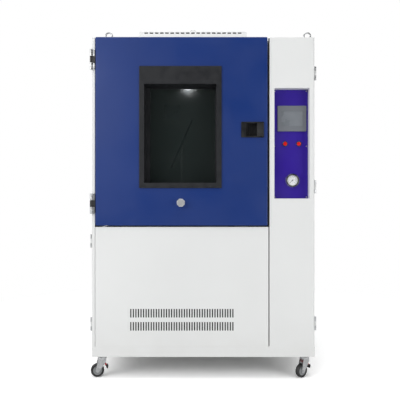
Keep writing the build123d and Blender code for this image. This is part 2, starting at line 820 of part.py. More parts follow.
# Foam in the door
core_gap = 1
latch_back = door_front + latch_depth
bolt_travel = 10
bolt_length = 92
bolt_reach = 8
bolt_tip = door_x1 + bolt_reach

with BuildPart() as door_core:
    with BuildSketch(front(door_front + sheet)):
        span(door_x0 + sheet + core_gap, door_x1 - sheet - core_gap,
             door_z0 + sheet + core_gap, roof_z - sheet - core_gap)
    extrude(amount=-(slab_depth - 2 * sheet))
    fillet(door_core.edges().filter_by(Axis.Y), door_corner)
    fillet(door_core.faces().sort_by(Axis.Y)[0].edges(), door_edge_r)
    with BuildSketch(front(slab_back - sheet)):
        span(plug_x0 + sheet + core_gap, plug_x1 - sheet - core_gap,
             plug_z0 + sheet + core_gap, plug_z1 - sheet - core_gap)
    extrude(amount=-plug_depth)
    fillet(door_core.edges().filter_by(Axis.Y).filter_by(
        lambda edge: edge.center().Y > slab_back - sheet), plug_corner)
    with BuildSketch(front(door_front)):
        span(glass_x0 - fit_gap, glass_x1 + fit_gap, glass_z0 - fit_gap, glass_z1 + fit_gap)
        with Locations((wiper_x, wiper_z)):
            Circle(wiper_shaft_r + core_gap)
    extrude(amount=-(slab_depth + plug_depth), mode=Mode.SUBTRACT)
    with BuildSketch(front(door_front)):
        latch_hole(core_gap)
    extrude(amount=-(latch_depth + core_gap), mode=Mode.SUBTRACT)
    with BuildSketch(side(door_x1)):
        with Locations((bolt_y, latch_cz)):
            Rectangle(bolt_depth + 2 * core_gap, bolt_height + 2 * core_gap)
    extrude(amount=-(bolt_length + bolt_travel), mode=Mode.SUBTRACT)
save(door_core, "door_core")

with BuildPart() as door_gasket:
    with BuildSketch(front(slab_back)) as gasket_outline:
        gasket_out = plug_gap + gasket_width
        span(plug_x0 - gasket_out, plug_x1 + gasket_out, plug_z0 - gasket_out, plug_z1 + gasket_out)
        fillet(gasket_outline.vertices(), gasket_out)
        span(plug_x0 - plug_gap, plug_x1 + plug_gap, plug_z0 - plug_gap, plug_z1 + plug_gap,
             mode=Mode.SUBTRACT)
    extrude(amount=-(gasket_depth - seat_gap))
save(door_gasket, "door_gasket")

with BuildPart() as window_bezel:
    with BuildSketch(front(door_front)):
        with Locations((bezel_cx, bezel_cz)):
            RectangleRounded(bezel_width, bezel_height, bezel_corner)
    extrude(amount=bezel_proud)
    fillet(window_bezel.faces().sort_by(Axis.Y)[0].edges(), 2)
    with BuildSketch(front(door_front)):
        window_hole(0)
    extrude(amount=-(glass_y - door_front))
    with BuildSketch(front(door_front - bezel_proud)):
        span(window_x0, window_x1, window_z0, window_z1)
    extrude(amount=-(glass_y - ledge_depth - door_front + bezel_proud), mode=Mode.SUBTRACT)
    with BuildSketch(front(glass_y)):
        span(window_x0 + ledge_left, window_x1 - ledge, window_z0 + ledge, window_z1 - ledge)
    extrude(amount=ledge_depth, mode=Mode.SUBTRACT)
save(window_bezel, "window_bezel")

with BuildPart() as window_glass:
    with BuildSketch(front(glass_y)):
        span(glass_x0, glass_x1, glass_z0, glass_z1)
    extrude(amount=-glass_thick)
save(window_glass, "window_glass")

# Stainless ring that clamps the glass from inside the chamber
retainer_rim = 14
retainer_thick = 2

with BuildPart() as window_retainer:
    with BuildSketch(front(plug_back)):
        span(glass_x0 - retainer_rim, glass_x1 + retainer_rim,
             glass_z0 - retainer_rim, glass_z1 + retainer_rim)
        span(window_x0 + ledge_left, window_x1 - ledge, window_z0 + ledge, window_z1 - ledge,
             mode=Mode.SUBTRACT)
    extrude(amount=-retainer_thick)
save(window_retainer, "window_retainer")

# Hand wiper: knob and shaft through the door, arm and blade on the inner face of the glass
knob_r = 22.5
knob_depth = 27
knob_gap = 1.5
knob_flutes = 8
knob_flute_r = 3
knob_flute_pitch_r = 23.5
knob_edge = 1.5
knob_cap_sink = 1.5
knob_cap_r = 12
arm_hub_r = 13
arm_width = 10
arm_thick = 4
arm_end_r = 8
holder_gap = 2
blade_cz = 1325
blade_long = 298
blade_tilt = 23.8
rubber_width = 3
holder_width = 9
hub_y = plug_back + retainer_thick
holder_y = hub_y + holder_gap
arm_y = holder_y + arm_thick

with BuildPart() as wiper_knob:
    with BuildSketch(front(door_front - knob_gap)):
        with Locations((wiper_x, wiper_z)):
            Circle(knob_r)
            with PolarLocations(knob_flute_pitch_r, knob_flutes):
                Circle(knob_flute_r, mode=Mode.SUBTRACT)
    extrude(amount=knob_depth)
    chamfer(wiper_knob.faces().sort_by(Axis.Y)[0].edges(), knob_edge)
    with BuildSketch(front(door_front - knob_gap - knob_depth)):
        with Locations((wiper_x, wiper_z)):
            Circle(knob_cap_r)
    extrude(amount=-knob_cap_sink, mode=Mode.SUBTRACT)
    with BuildSketch(front(door_front - knob_gap)):
        with Locations((wiper_x, wiper_z)):
            Circle(wiper_shaft_r)
    extrude(amount=-(hub_y - door_front + knob_gap))
save(wiper_knob, "wiper_knob")

with BuildPart() as wiper_arm:
    with BuildSketch(front(hub_y)):
        with Locations((wiper_x, wiper_z)):
            Circle(arm_hub_r)
    extrude(amount=-(arm_y + arm_thick - hub_y))
    with BuildSketch(front(arm_y)):
        span(wiper_x - arm_width / 2, wiper_x + arm_width / 2, wiper_z, blade_cz)
        with Locations((wiper_x, blade_cz)):
            Circle(arm_end_r)
    extrude(amount=-arm_thick)
save(wiper_arm, "wiper_arm")

with BuildPart() as wiper_blade:
    with BuildSketch(front(holder_y)):
        with Locations((wiper_x, blade_cz)):
            RectangleRounded(holder_width, blade_long, holder_width / 2 - 0.5, rotation=-blade_tilt)
    extrude(amount=-arm_thick)
    with BuildSketch(front(plug_back + seat_gap)):
        with Locations((wiper_x, blade_cz)):
            Rectangle(rubber_width, blade_long - holder_width, rotation=-blade_tilt)
    extrude(amount=-(holder_y - plug_back - seat_gap))
save(wiper_blade, "wiper_blade")

# Door hinges: fixed brackets with pins on the left strip, leaves on the door's left edge
hinge_r = 8
hinge_pin_r = 3
hinge_height = 112
hinge_zs = (1781, 981)
hinge_out = 2
hinge_x = left_x - hinge_out
hinge_y = front_y - hinge_r - seat_gap
knuckle_gap = 0.5
knuckle = hinge_height / 3
leaf_thick = 3
leaf_height = 100
leaf_back_inset = 6
bracket_inset = 4
bracket_x0 = left_x + bracket_inset
bracket_x1 = left_x + strip_width - 1

with BuildPart() as door_hinge_brackets:
    for z in hinge_zs:
        with BuildSketch(level(z - hinge_height / 2)):
            with Locations((hinge_x, hinge_y)):
                Circle(hinge_pin_r)
        extrude(amount=hinge_height)
        for way in (-1, 1):
            with BuildSketch(level(z + way * knuckle / 2)):
                with Locations((hinge_x, hinge_y)):
                    Circle(hinge_r)
                span(hinge_x, bracket_x1, front_y - 2 * leaf_thick, front_y)
            extrude(amount=way * knuckle)
        with BuildSketch(level(z - hinge_height / 2)):
            span(bracket_x0, bracket_x1, front_y - leaf_thick, front_y)
        extrude(amount=hinge_height)
save(door_hinge_brackets, "door_hinge_brackets")

with BuildPart() as door_hinge_leaves:
    for z in hinge_zs:
        with BuildSketch(level(z - knuckle / 2 + knuckle_gap)):
            with Locations((hinge_x, hinge_y)):
                Circle(hinge_r)
            span(hinge_x, door_x0, hinge_y - hinge_r / 2, hinge_y - hinge_r / 2 + leaf_thick)
            with Locations((hinge_x, hinge_y)):
                Circle(hinge_pin_r + running_gap, mode=Mode.SUBTRACT)
        extrude(amount=knuckle - 2 * knuckle_gap)
        with BuildSketch(level(z - leaf_height / 2)):
            span(door_x0 - leaf_thick, door_x0, hinge_y - hinge_r / 2, slab_back - leaf_back_inset)
        extrude(amount=leaf_height)
save(door_hinge_leaves, "door_hinge_leaves")

# Latch: housing let into the door, paddle on a pin in the housing's ears, sliding bolt behind
finger_x0 = latch_cx - 34
finger_x1 = latch_cx + 40
finger_height = 70
latch_floor = 3
latch_corner = 5
latch_edge = 1
paddle_height = 74
paddle_thick = 5.8
paddle_x0 = latch_cx + 24
paddle_axis_x = latch_cx + 58
paddle_back = door_front - latch_proud - seat_gap
paddle_axis_y = paddle_back - paddle_thick / 2
paddle_pin_r = 1.5
paddle_pin = 4
paddle_lip = 4
paddle_lip_depth = 8
ear_x0 = paddle_axis_x - 5
ear_x1 = latch_cx + latch_width / 2
ear_depth = 7
rib_count = 3
rib_pitch = 14
rib_width = 5
rib_height = 4
strip_x0 = finger_x0 - 9
latch_strip = 7
latch_strip_proud = 2

with BuildPart() as latch_housing:
    with BuildSketch(front(door_front)):
        with Locations((latch_cx, latch_cz)):
            RectangleRounded(latch_width, latch_height, latch_corner)
    extrude(amount=latch_proud)
    chamfer(latch_housing.faces().sort_by(Axis.Y)[0].edges(), latch_edge)
    with BuildSketch(front(door_front)):
        latch_hole(0)
    extrude(amount=-latch_depth)
    with BuildSketch(front(door_front - latch_proud)):
        span(finger_x0, finger_x1, latch_cz - finger_height / 2, latch_cz + finger_height / 2)
    extrude(amount=-(latch_proud + latch_depth - latch_floor), mode=Mode.SUBTRACT)
    with BuildSketch(front(latch_back - latch_floor)):
        with Locations((finger_x0 + rib_pitch * rib_count / 2, latch_cz)):
            with GridLocations(rib_pitch, finger_height, rib_count, 1):
                Rectangle(rib_width, finger_height)
    extrude(amount=rib_height)
    with BuildSketch(front(door_front - latch_proud)):
        span(strip_x0, strip_x0 + latch_strip, latch_cz - finger_height / 2, latch_cz + finger_height / 2)
    extrude(amount=latch_strip_proud)
    ear_in = paddle_height / 2 + seat_gap
    for way in (-1, 1):
        with BuildSketch(front(door_front - latch_proud)):
            span(ear_x0, ear_x1 - latch_edge, latch_cz + way * ear_in,
                 latch_cz + way * (latch_height / 2 - latch_edge))
        extrude(amount=ear_depth)
    with BuildSketch(level(latch_cz - ear_in - paddle_pin)):
        with Locations((paddle_axis_x, paddle_axis_y)):
            Circle(paddle_pin_r + running_gap)
    extrude(amount=2 * (ear_in + paddle_pin), mode=Mode.SUBTRACT)
save(latch_housing, "latch_housing")

with BuildPart() as latch_paddle:
    with BuildSketch(level(latch_cz - paddle_height / 2)):
        span(paddle_x0, paddle_axis_x, paddle_back, paddle_back - paddle_thick)
        span(paddle_x0, paddle_x0 + paddle_lip, paddle_back, paddle_back + paddle_lip_depth)
        with Locations((paddle_axis_x, paddle_axis_y)):
            Circle(paddle_thick / 2)
    extrude(amount=paddle_height)
    with BuildSketch(front(paddle_back)):
        for way in (-1, 1):
            span(paddle_x0, paddle_x0 + paddle_lip, latch_cz + way * (finger_height / 2 - 1),
                 latch_cz + way * paddle_height / 2)
    extrude(amount=-paddle_lip_depth, mode=Mode.SUBTRACT)
    with BuildSketch(level(latch_cz - paddle_height / 2 - paddle_pin)):
        with Locations((paddle_axis_x, paddle_axis_y)):
            Circle(paddle_pin_r)
    extrude(amount=paddle_height + 2 * paddle_pin)
save(latch_paddle, "latch_paddle")

with BuildPart() as latch_bolt:
    with BuildSketch(level(latch_cz - bolt_height / 2)):
        with BuildLine():
            Polyline((bolt_tip - bolt_length, bolt_y - bolt_depth / 2), (bolt_tip, bolt_y - bolt_depth / 2),
                     (bolt_tip, bolt_y), (bolt_tip - bolt_depth / 2, bolt_y + bolt_depth / 2),
                     (bolt_tip - bolt_length, bolt_y + bolt_depth / 2), close=True)
        make_face()
    extrude(amount=bolt_height)
save(latch_bolt, "latch_bolt")

# Service doors on the sides, each with its half of the hinges, and the fixed halves with the pins
service_hinge_r = 8
service_hinge_height = 76
service_hinge_off = 16
service_hinge_ahead = 15
service_hinge_y = service_y0 - service_hinge_ahead
service_pin_r = 3
service_knuckle = service_hinge_height / 3
service_leaf = 28
service_arm = 8
service_leaf_inset = 2
service_plate = 4
service_plate_lap = 2
left_hinge_zs = (768, 295)
right_hinge_zs = (1722, 1077, 299)


def service_door(way, z0, z1, hinge_heights):
    """A folded door sheet on the side that way points to, with the moving hinge leaves."""
    face_x = way * right_x
    axis_x = face_x + way * service_hinge_off
    with BuildPart() as door:
        with BuildSketch(side(face_x)):
            span(service_y0, service_y1, z0, z1)
        extrude(amount=-way * service_depth)
        opening = door.faces().sort_by(Axis.X)[0 if way > 0 else -1]
        offset(amount=-sheet, openings=opening)
        for z in hinge_heights:
            with BuildSketch(level(z - service_knuckle / 2 + knuckle_gap)):
                with Locations((axis_x, service_hinge_y)):
                    Circle(service_hinge_r)
                arm_end = service_y0 + service_leaf_inset + service_arm
                span(axis_x - way * service_plate_lap, axis_x + way * service_plate, service_hinge_y, arm_end)
                span(axis_x, face_x, arm_end - service_arm, arm_end)
                with Locations((axis_x, service_hinge_y)):
                    Circle(service_pin_r + running_gap, mode=Mode.SUBTRACT)
            extrude(amount=service_knuckle - 2 * knuckle_gap)
            with BuildSketch(level(z - service_hinge_height / 2)):
                leaf_y0 = service_y0 + service_leaf_inset
                span(face_x, face_x + way * leaf_thick, leaf_y0, leaf_y0 + service_leaf)
            extrude(amount=service_hinge_height)
    return door


save(service_door(-1, left_service_z0, left_service_z1, left_hinge_zs), "left_service_door")
save(service_door(1, right_service_z0, right_service_z1, right_hinge_zs), "right_service_door")

with BuildPart() as service_hinges:
    for way, heights in ((-1, left_hinge_zs), (1, right_hinge_zs)):
        bracket_face = way * right_x
        pin_x = bracket_face + way * service_hinge_off
        for z in heights:
            with BuildSketch(level(z - service_hinge_height / 2)):
                with Locations((pin_x, service_hinge_y)):
                    Circle(service_pin_r)
                span(bracket_face, bracket_face + way * leaf_thick,
                     service_hinge_y - service_leaf, service_hinge_y)
            extrude(amount=service_hinge_height)
            for up in (-1, 1):
                with BuildSketch(level(z + up * service_knuckle / 2)):
                    with Locations((pin_x, service_hinge_y)):
                        Circle(service_hinge_r)
                    span(pin_x, bracket_face, service_hinge_y - service_arm, service_hinge_y)
                extrude(amount=up * service_knuckle)
save(service_hinges, "service_hinges")

# Control panel plate and what is mounted on it
panel_cx = 499.5
hmi_width = 162
hmi_height = 144.5
hmi_cz = 1460
hmi_proud = 6
hmi_rim = 5
hmi_depth = 38
hmi_corner = 4
hmi_edge_r = 1.5
screen_width = 120
screen_height = 83
screen_sink = 1.5
screen_thick = 1.2
button_cz = 1317.5
button_spacing = 77
button_flange_r = 16
button_ring = 6
button_taper = 12
button_edge_r = 1.5
stem_inset = 2
button_cap_r = 10.6
button_ring_r = 10.9
button_barrel_r = 11.1
button_stem_r = 8
button_barrel = 28
button_travel = 4
button_cap = 5.2
gauge_cx = 502
gauge_cz = 1111
gauge_flange_r = 41
gauge_body_r = 33
gauge_window_r = 28.5
gauge_rim_r = 37
gauge_flange = 3
lens_r = 30.5
gauge_front = 12
gauge_depth = 30
dial_sink = 10
lens_thick = 2
lens_sink = 2
needle_pin_r = 1.5
needle_length = 21
needle_tail = 7
needle_hub_r = 3.5
screw_inset = 9
screw_hole_r = 2.1
screw_head_r = 4
screw_head = 2.6
screw_taper = 20
screw_mid_z = 1305
plate_y = front_y + recess_depth
plate_back_y = plate_y + plate_thick
screw_spots = [
    (x, z)
    for z in (recess_z0 + screw_inset, screw_mid_z, recess_z1 - screw_inset)
    for x in (recess_x0 + screw_inset, recess_x1 - screw_inset)
]
button_spots = [(panel_cx - button_spacing / 2, button_cz), (panel_cx + button_spacing / 2, button_cz)]

with BuildPart() as panel_plate:
    with BuildSketch(front(plate_y)):
        span(recess_x0 + recess_gap, recess_x1 - recess_gap, recess_z0 + recess_gap, recess_z1 - recess_gap)
        with Locations((panel_cx, hmi_cz)):
            Rectangle(hmi_width - 2 * hmi_rim + 2 * fit_gap, hmi_height - 2 * hmi_rim + 2 * fit_gap,
                      mode=Mode.SUBTRACT)
        with Locations(*button_spots):
            Circle(button_barrel_r + running_gap, mode=Mode.SUBTRACT)
        with Locations((gauge_cx, gauge_cz)):
            Circle(gauge_body_r + fit_gap, mode=Mode.SUBTRACT)
        with Locations(*screw_spots):
            Circle(screw_hole_r, mode=Mode.SUBTRACT)
    extrude(amount=-plate_thick)
save(panel_plate, "panel_plate")

with BuildPart() as panel_screws:
    with BuildSketch(front(plate_y)):
        with Locations(*screw_spots):
            Circle(screw_head_r)
    extrude(amount=screw_head, taper=screw_taper)
    with BuildSketch(front(plate_y)):
        with Locations(*screw_spots):
            Circle(screw_hole_r - running_gap)
    extrude(amount=-plate_thick)
save(panel_screws, "panel_screws")

with BuildPart() as hmi_housing:
    with BuildSketch(front(plate_y)):
        with Locations((panel_cx, hmi_cz)):
            RectangleRounded(hmi_width, hmi_height, hmi_corner)
    extrude(amount=hmi_proud)
    fillet(hmi_housing.faces().sort_by(Axis.Y)[0].edges(), hmi_edge_r)
    with BuildSketch(front(plate_y)):
        with Locations((panel_cx, hmi_cz)):
            Rectangle(hmi_width - 2 * hmi_rim, hmi_height - 2 * hmi_rim)
    extrude(amount=-hmi_depth)
    with BuildSketch(front(plate_y - hmi_proud)):
        with Locations((panel_cx, hmi_cz)):
            Rectangle(screen_width, screen_height)
    extrude(amount=-(screen_sink + screen_thick), mode=Mode.SUBTRACT)
save(hmi_housing, "hmi_housing")

with BuildPart() as hmi_display:
    with BuildSketch(front(plate_y - hmi_proud + screen_sink)):
        with Locations((panel_cx, hmi_cz)):
            Rectangle(screen_width, screen_height)
    extrude(amount=-screen_thick)
save(hmi_display, "hmi_display")

with BuildPart() as button_bezels:
    with BuildSketch(front(plate_y)):
        with Locations(*button_spots):
            Circle(button_flange_r)
    extrude(amount=button_ring, taper=button_taper)
    with BuildSketch(front(plate_y)):
        with Locations(*button_spots):
            Circle(button_ring_r)
    extrude(amount=button_ring, mode=Mode.SUBTRACT)
    with BuildSketch(front(plate_y)):
        with Locations(*button_spots):
            Circle(button_barrel_r)
    extrude(amount=-button_barrel)
    with BuildSketch(front(plate_y)):
        with Locations(*button_spots):
            Circle(button_stem_r + running_gap)
    extrude(amount=-button_barrel, mode=Mode.SUBTRACT)
save(button_bezels, "button_bezels")


def push_button(spot):
    """A domed cap on a stem, standing clear of its barrel by its travel."""
    cap_y = plate_y - button_travel - seat_gap
    with BuildPart() as button:
        with BuildSketch(front(cap_y)):
            with Locations(spot):
                Circle(button_cap_r)
        extrude(amount=button_cap)
        fillet(button.faces().sort_by(Axis.Y)[0].edges(), button_edge_r)
        with BuildSketch(front(cap_y)):
            with Locations(spot):
                Circle(button_stem_r)
        extrude(amount=-(button_barrel - stem_inset))
    return button


save(push_button(button_spots[0]), "power_button")
save(push_button(button_spots[1]), "run_button")

# Pressure gauge: turned case with its dial, needle on a spindle and lens
gauge_axis = Axis((gauge_cx, 0, gauge_cz), (0, 1, 0))
gauge_section = Plane(origin=(gauge_cx, 0, gauge_cz), x_dir=(1, 0, 0), z_dir=(0, 0, 1))
dial_y = plate_y - gauge_front + dial_sink
needle_gap = 1
needle_thick = 0.8
needle_rest = 225
spindle_depth = 6
spindle_y = dial_y + spindle_depth

with BuildPart() as gauge_case:
    with BuildSketch(gauge_section):
        with BuildLine():
            Polyline((0, plate_y + gauge_depth), (gauge_body_r, plate_y + gauge_depth),
                     (gauge_body_r, plate_y), (gauge_flange_r, plate_y),
                     (gauge_flange_r, plate_y - gauge_flange),
                     (gauge_rim_r, plate_y - gauge_front), (lens_r, plate_y - gauge_front),
                     (lens_r, plate_y - gauge_front + lens_sink + lens_thick),
                     (gauge_window_r, plate_y - gauge_front + lens_sink + lens_thick),
                     (gauge_window_r, dial_y), (needle_pin_r + running_gap, dial_y),
                     (needle_pin_r + running_gap, spindle_y), (0, spindle_y), close=True)
        make_face()
    revolve(axis=gauge_axis)
save(gauge_case, "gauge_case")

with BuildPart() as gauge_needle:
    with BuildSketch(front(dial_y - needle_gap)):
        with Locations((gauge_cx, gauge_cz)):
            Circle(needle_hub_r)
            Polygon((-needle_tail, -1.6), (needle_length, -0.3), (needle_length, 0.3), (-needle_tail, 1.6),
                    rotation=needle_rest, align=None)
    extrude(amount=needle_thick)
    with BuildSketch(front(dial_y - needle_gap)):
        with Locations((gauge_cx, gauge_cz)):
            Circle(needle_pin_r)
    extrude(amount=-(needle_gap + spindle_depth - 1))
save(gauge_needle, "gauge_needle")

with BuildPart() as gauge_lens:
    with BuildSketch(front(plate_y - gauge_front + lens_sink)):
        with Locations((gauge_cx, gauge_cz)):
            Circle(lens_r - running_gap)
    extrude(amount=-lens_thick)
save(gauge_lens, "gauge_lens")

# Casters: black top plate with its race, zinc fork, rubber wheel and, in front, a brake pedal
wheel_r = 37.5
wheel_width = 24
wheel_trail = 26
axle_r = 4
bush_r = 9
web_sink = 4
tyre_depth = 13.5
tread_round = 4
wheel_side_gap = 1.5
fork_wall = 3
race_r = 29
race_z = 115
caster_plate = 4
caster_plate_x = 86
caster_plate_y = 74
kingpin_r = 6
kingpin_gap = 1
crown_r = 26
crown_z = 106
yoke_z = 98
yoke_length = 44
fork_eye_r = 11
axle_end = 3
pedal_x = 12
pedal_z = 84
pedal_r = 5
pedal_tip_x = 28
pedal_tip_z = 49
pedal_tip_r = 4
pedal_inner_width = 22
pedal_toe = 12
pedal_outer_width = 30

with BuildPart() as caster_plates:
    with BuildSketch(level(caster_height)):
        for x, y in caster_points:
            with Locations((x, y)):
                RectangleRounded(caster_plate_x, caster_plate_y, 8)
                with GridLocations(caster_hole_x, caster_hole_y, 2, 2):
                    Circle(caster_hole_r, mode=Mode.SUBTRACT)
    extrude(amount=-caster_plate)
    with BuildSketch(level(caster_height - caster_plate)):
        with Locations(*caster_points):
            Circle(race_r)
    extrude(amount=-(caster_height - caster_plate - race_z))
    with BuildSketch(level(race_z)):
        with Locations(*caster_points):
            Circle(kingpin_r + running_gap)
    extrude(amount=caster_height - race_z, mode=Mode.SUBTRACT)
save(caster_plates, "caster_plates")


def caster_frames(x, y, yaw):
    """A caster's own planes: level, upright along the trail, through the axle and across the axle."""
    ahead = Vector(cos(radians(yaw)), sin(radians(yaw)), 0)
    across = Vector(-sin(radians(yaw)), cos(radians(yaw)), 0)
    ground = Plane(origin=(x, y, 0), x_dir=ahead, z_dir=(0, 0, 1))
    upright = Plane(origin=(x, y, 0), x_dir=ahead, z_dir=across * -1)
    hub = Vector(x, y, wheel_r) - ahead * wheel_trail
    axle = Plane(origin=hub, x_dir=across, z_dir=ahead)
    bolt = Plane(origin=hub, x_dir=ahead, z_dir=across)
    return ground, upright, axle, bolt


def caster_fork(x, y, yaw):
    """Crown and kingpin, yoke, two cheeks and the axle bolt."""
    ground, upright, axle, bolt = caster_frames(x, y, yaw)
    cheek = wheel_width / 2 + wheel_side_gap
    with BuildPart() as fork:
        with BuildSketch(ground.offset(race_z - seat_gap)):
            Circle(crown_r)
        extrude(amount=-(race_z - seat_gap - crown_z))
        with BuildSketch(ground.offset(crown_z)):
            Circle(kingpin_r)
        extrude(amount=caster_height - crown_z - kingpin_gap)
        with BuildSketch(ground.offset(crown_z)):
            Rectangle(yoke_length, 2 * (cheek + fork_wall))
        extrude(amount=yoke_z - crown_z)
        for way in (-1, 1):
            with BuildSketch(upright.offset(way * cheek)):
                with Locations((-wheel_trail, wheel_r)):
                    Circle(fork_eye_r)
                with Locations((pedal_x, pedal_z)):
                    Circle(pedal_r + 2)
                with Locations((0, (crown_z + yoke_z) / 2)):
                    Rectangle(yoke_length, crown_z - yoke_z)
                make_hull()
            extrude(amount=way * fork_wall)
        axle_half = cheek + fork_wall + axle_end
        with BuildSketch(bolt.offset(-axle_half)):
            Circle(axle_r)
        extrude(amount=2 * axle_half)
    return fork


def caster_wheel(x, y, yaw):
    """Rubber tread on a hub, turned about the axle."""
    ground, upright, axle, bolt = caster_frames(x, y, yaw)
    half = wheel_width / 2
    hub_half = half + wheel_side_gap - seat_gap
    web = half - web_sink
    with BuildPart() as wheel:
        with BuildSketch(axle):
            with BuildLine():
                Polyline((-hub_half, axle_r + running_gap), (-hub_half, bush_r), (-web, bush_r + 3),
                         (-web, wheel_r - tyre_depth), (-half, wheel_r - tyre_depth + 2),
                         (-half, wheel_r - tread_round), (-half + tread_round, wheel_r),
                         (half - tread_round, wheel_r), (half, wheel_r - tread_round),
                         (half, wheel_r - tyre_depth + 2), (web, wheel_r - tyre_depth),
                         (web, bush_r + 3), (hub_half, bush_r), (hub_half, axle_r + running_gap),
                         close=True)
            make_face()
        revolve(axis=Axis(axle.origin, axle.x_dir))
    return wheel


def caster_pedal(x, y, yaw):
    """Brake lever on a bush between the cheeks, wider at its foot."""
    ground, upright, axle, bolt = caster_frames(x, y, yaw)
    with BuildPart() as pedal:
        for reach, width in (((pedal_x, pedal_z, pedal_r), pedal_inner_width),
                             ((pedal_tip_x + 2, pedal_tip_z + pedal_toe, pedal_tip_r), pedal_outer_width)):
            with BuildSketch(upright.offset(-width / 2)):
                with Locations((reach[0], reach[1])):
                    Circle(reach[2])
                with Locations((pedal_tip_x, pedal_tip_z)):
                    Circle(pedal_tip_r)
                make_hull()
            extrude(amount=width)
        bush_half = wheel_width / 2 + wheel_side_gap - seat_gap
        with BuildSketch(upright.offset(-bush_half)):
            with Locations((pedal_x, pedal_z)):
                Circle(pedal_r)
        extrude(amount=2 * bush_half)
    return pedal


caster_yaws = {"front_left": 15, "front_right": 35, "rear_left": -20, "rear_right": 10}
for (corner, yaw), (x, y) in zip(caster_yaws.items(), caster_points):
    save(caster_fork(x, y, yaw), f"{corner}_fork")
    save(caster_wheel(x, y, yaw), f"{corner}_wheel")
    if y < 0:
        save(caster_pedal(x, y, yaw), f"{corner}_pedal")
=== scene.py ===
from math import cos, pi, radians, sin

import bmesh
import bpy
from mathutils import Matrix, Vector


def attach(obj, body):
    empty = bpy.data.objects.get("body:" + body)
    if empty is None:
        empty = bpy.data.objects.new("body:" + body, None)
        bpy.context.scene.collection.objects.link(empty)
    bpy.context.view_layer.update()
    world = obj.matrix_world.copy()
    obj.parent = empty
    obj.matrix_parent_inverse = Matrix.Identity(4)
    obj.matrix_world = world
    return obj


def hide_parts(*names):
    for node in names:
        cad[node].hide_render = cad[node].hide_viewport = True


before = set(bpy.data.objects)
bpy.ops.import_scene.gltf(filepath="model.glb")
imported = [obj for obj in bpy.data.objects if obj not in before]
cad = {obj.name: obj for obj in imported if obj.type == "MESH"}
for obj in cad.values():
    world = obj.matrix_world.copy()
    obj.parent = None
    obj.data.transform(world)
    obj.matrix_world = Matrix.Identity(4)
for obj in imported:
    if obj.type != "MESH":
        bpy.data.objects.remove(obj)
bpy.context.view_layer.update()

# Measures that several sections share, in metres: half the cabinet's width, its front, its back and its
# roof, and the spacing of the screws in a row across it.
mm = 0.001
half_x, front_y, back_y, roof_z = 0.620, -0.540, 0.560, 1.906
cross_row = (-0.36, -0.12, 0.12, 0.36)

# The corners of a box, four below and then four above, make these six faces.
box_faces = ((0, 3, 2, 1), (4, 5, 6, 7), (0, 1, 5, 4), (1, 2, 6, 5), (2, 3, 7, 6), (3, 0, 4, 7))


# Shader helpers: each makes one node, or a few that belong together, in the tree that it is given.

def add(tree, kind, settings=None, **values):
    """A shader node with its settings and the values of its sockets, whose names have _ for a space."""
    node = tree.nodes.new("ShaderNode" + kind)
    for label, value in (settings or {}).items():
        setattr(node, label, value)
    for label, value in values.items():
        node.inputs[label.replace("_", " ")].default_value = value
    return node


def feed(tree, value, socket):
    """A socket is linked to another one, or set to a plain value."""
    if isinstance(value, (int, float, tuple)):
        socket.default_value = value
    else:
        tree.links.new(value, socket)


def calc(tree, operation, a, b):
    """A math node's result from two sockets or numbers."""
    node = add(tree, "Math", {"operation": operation})
    feed(tree, a, node.inputs[0])
    feed(tree, b, node.inputs[1])
    return node.outputs[0]


def ranged(tree, value, low, high, to_low, to_high):
    """A value mapped from one range to another and held inside it."""
    node = add(tree, "MapRange")
    for label, given_value in (("Value", value), ("From Min", low), ("From Max", high),
                               ("To Min", to_low), ("To Max", to_high)):
        feed(tree, given_value, node.inputs[label])
    return node.outputs["Result"]


def noise(tree, where, scale, detail=2.0, stretch=None):
    """A noise value at the given coordinates, drawn out along an axis where a stretch is linked."""
    if stretch is not None:
        mapping = add(tree, "Mapping")
        tree.links.new(where, mapping.inputs["Vector"])
        tree.links.new(stretch, mapping.inputs["Scale"])
        where = mapping.outputs["Vector"]
    node = add(tree, "TexNoise", Detail=detail)
    tree.links.new(where, node.inputs["Vector"])
    feed(tree, scale, node.inputs["Scale"])
    return node.outputs["Fac"]


def blend(tree, factor, a, b):
    """Two colours mixed by a factor."""
    node = add(tree, "Mix", {"data_type": "RGBA"})
    for spot, value in ((0, factor), (6, a), (7, b)):
        feed(tree, value, node.inputs[spot])
    return node.outputs[2]


def shader_group(name, inputs, outputs):
    """An empty group of shader nodes with its sockets, and its input and output nodes."""
    tree = bpy.data.node_groups.new(name, "ShaderNodeTree")
    for label, kind, value in inputs:
        socket = tree.interface.new_socket(label, in_out="INPUT", socket_type="NodeSocket" + kind)
        socket.default_value = value
    for label, kind in outputs:
        tree.interface.new_socket(label, in_out="OUTPUT", socket_type="NodeSocket" + kind)
    return tree, tree.nodes.new("NodeGroupInput"), tree.nodes.new("NodeGroupOutput")


def place(tree, group, **values):
    """A shader group placed in a material with its own values."""
    node = tree.nodes.new("ShaderNodeGroup")
    node.node_tree = group
    for label, value in values.items():
        node.inputs[label.replace("_", " ")].default_value = value
    return node


def material(name, **values):
    """A material with its Principled shader, and the shader's plain values."""
    made = bpy.data.materials.new(name)
    made.use_nodes = True
    shader = made.node_tree.nodes["Principled BSDF"]
    for label, value in values.items():
        shader.inputs[label.replace("_", " ")].default_value = value
    return made, made.node_tree, shader


def relief(tree, height, shader, distance, strength):
    """A bump from a height socket into the shader's normal."""
    bump = add(tree, "Bump", Strength=strength, Distance=distance)
    tree.links.new(height, bump.inputs["Height"])
    tree.links.new(bump.outputs["Normal"], shader.inputs["Normal"])


# Mesh helpers: a piece that this script adds is one closed mesh in the chamber's frame. It rides on the body
# that carries the real piece, so it moves with that body at every pose.
crease = radians(35)
screw_corners, screw_sunk = 18, 0.2 * mm


def shade(name, finish):
    """A CAD piece gets its material."""
    cad[name].data.materials.clear()
    cad[name].data.materials.append(finish)


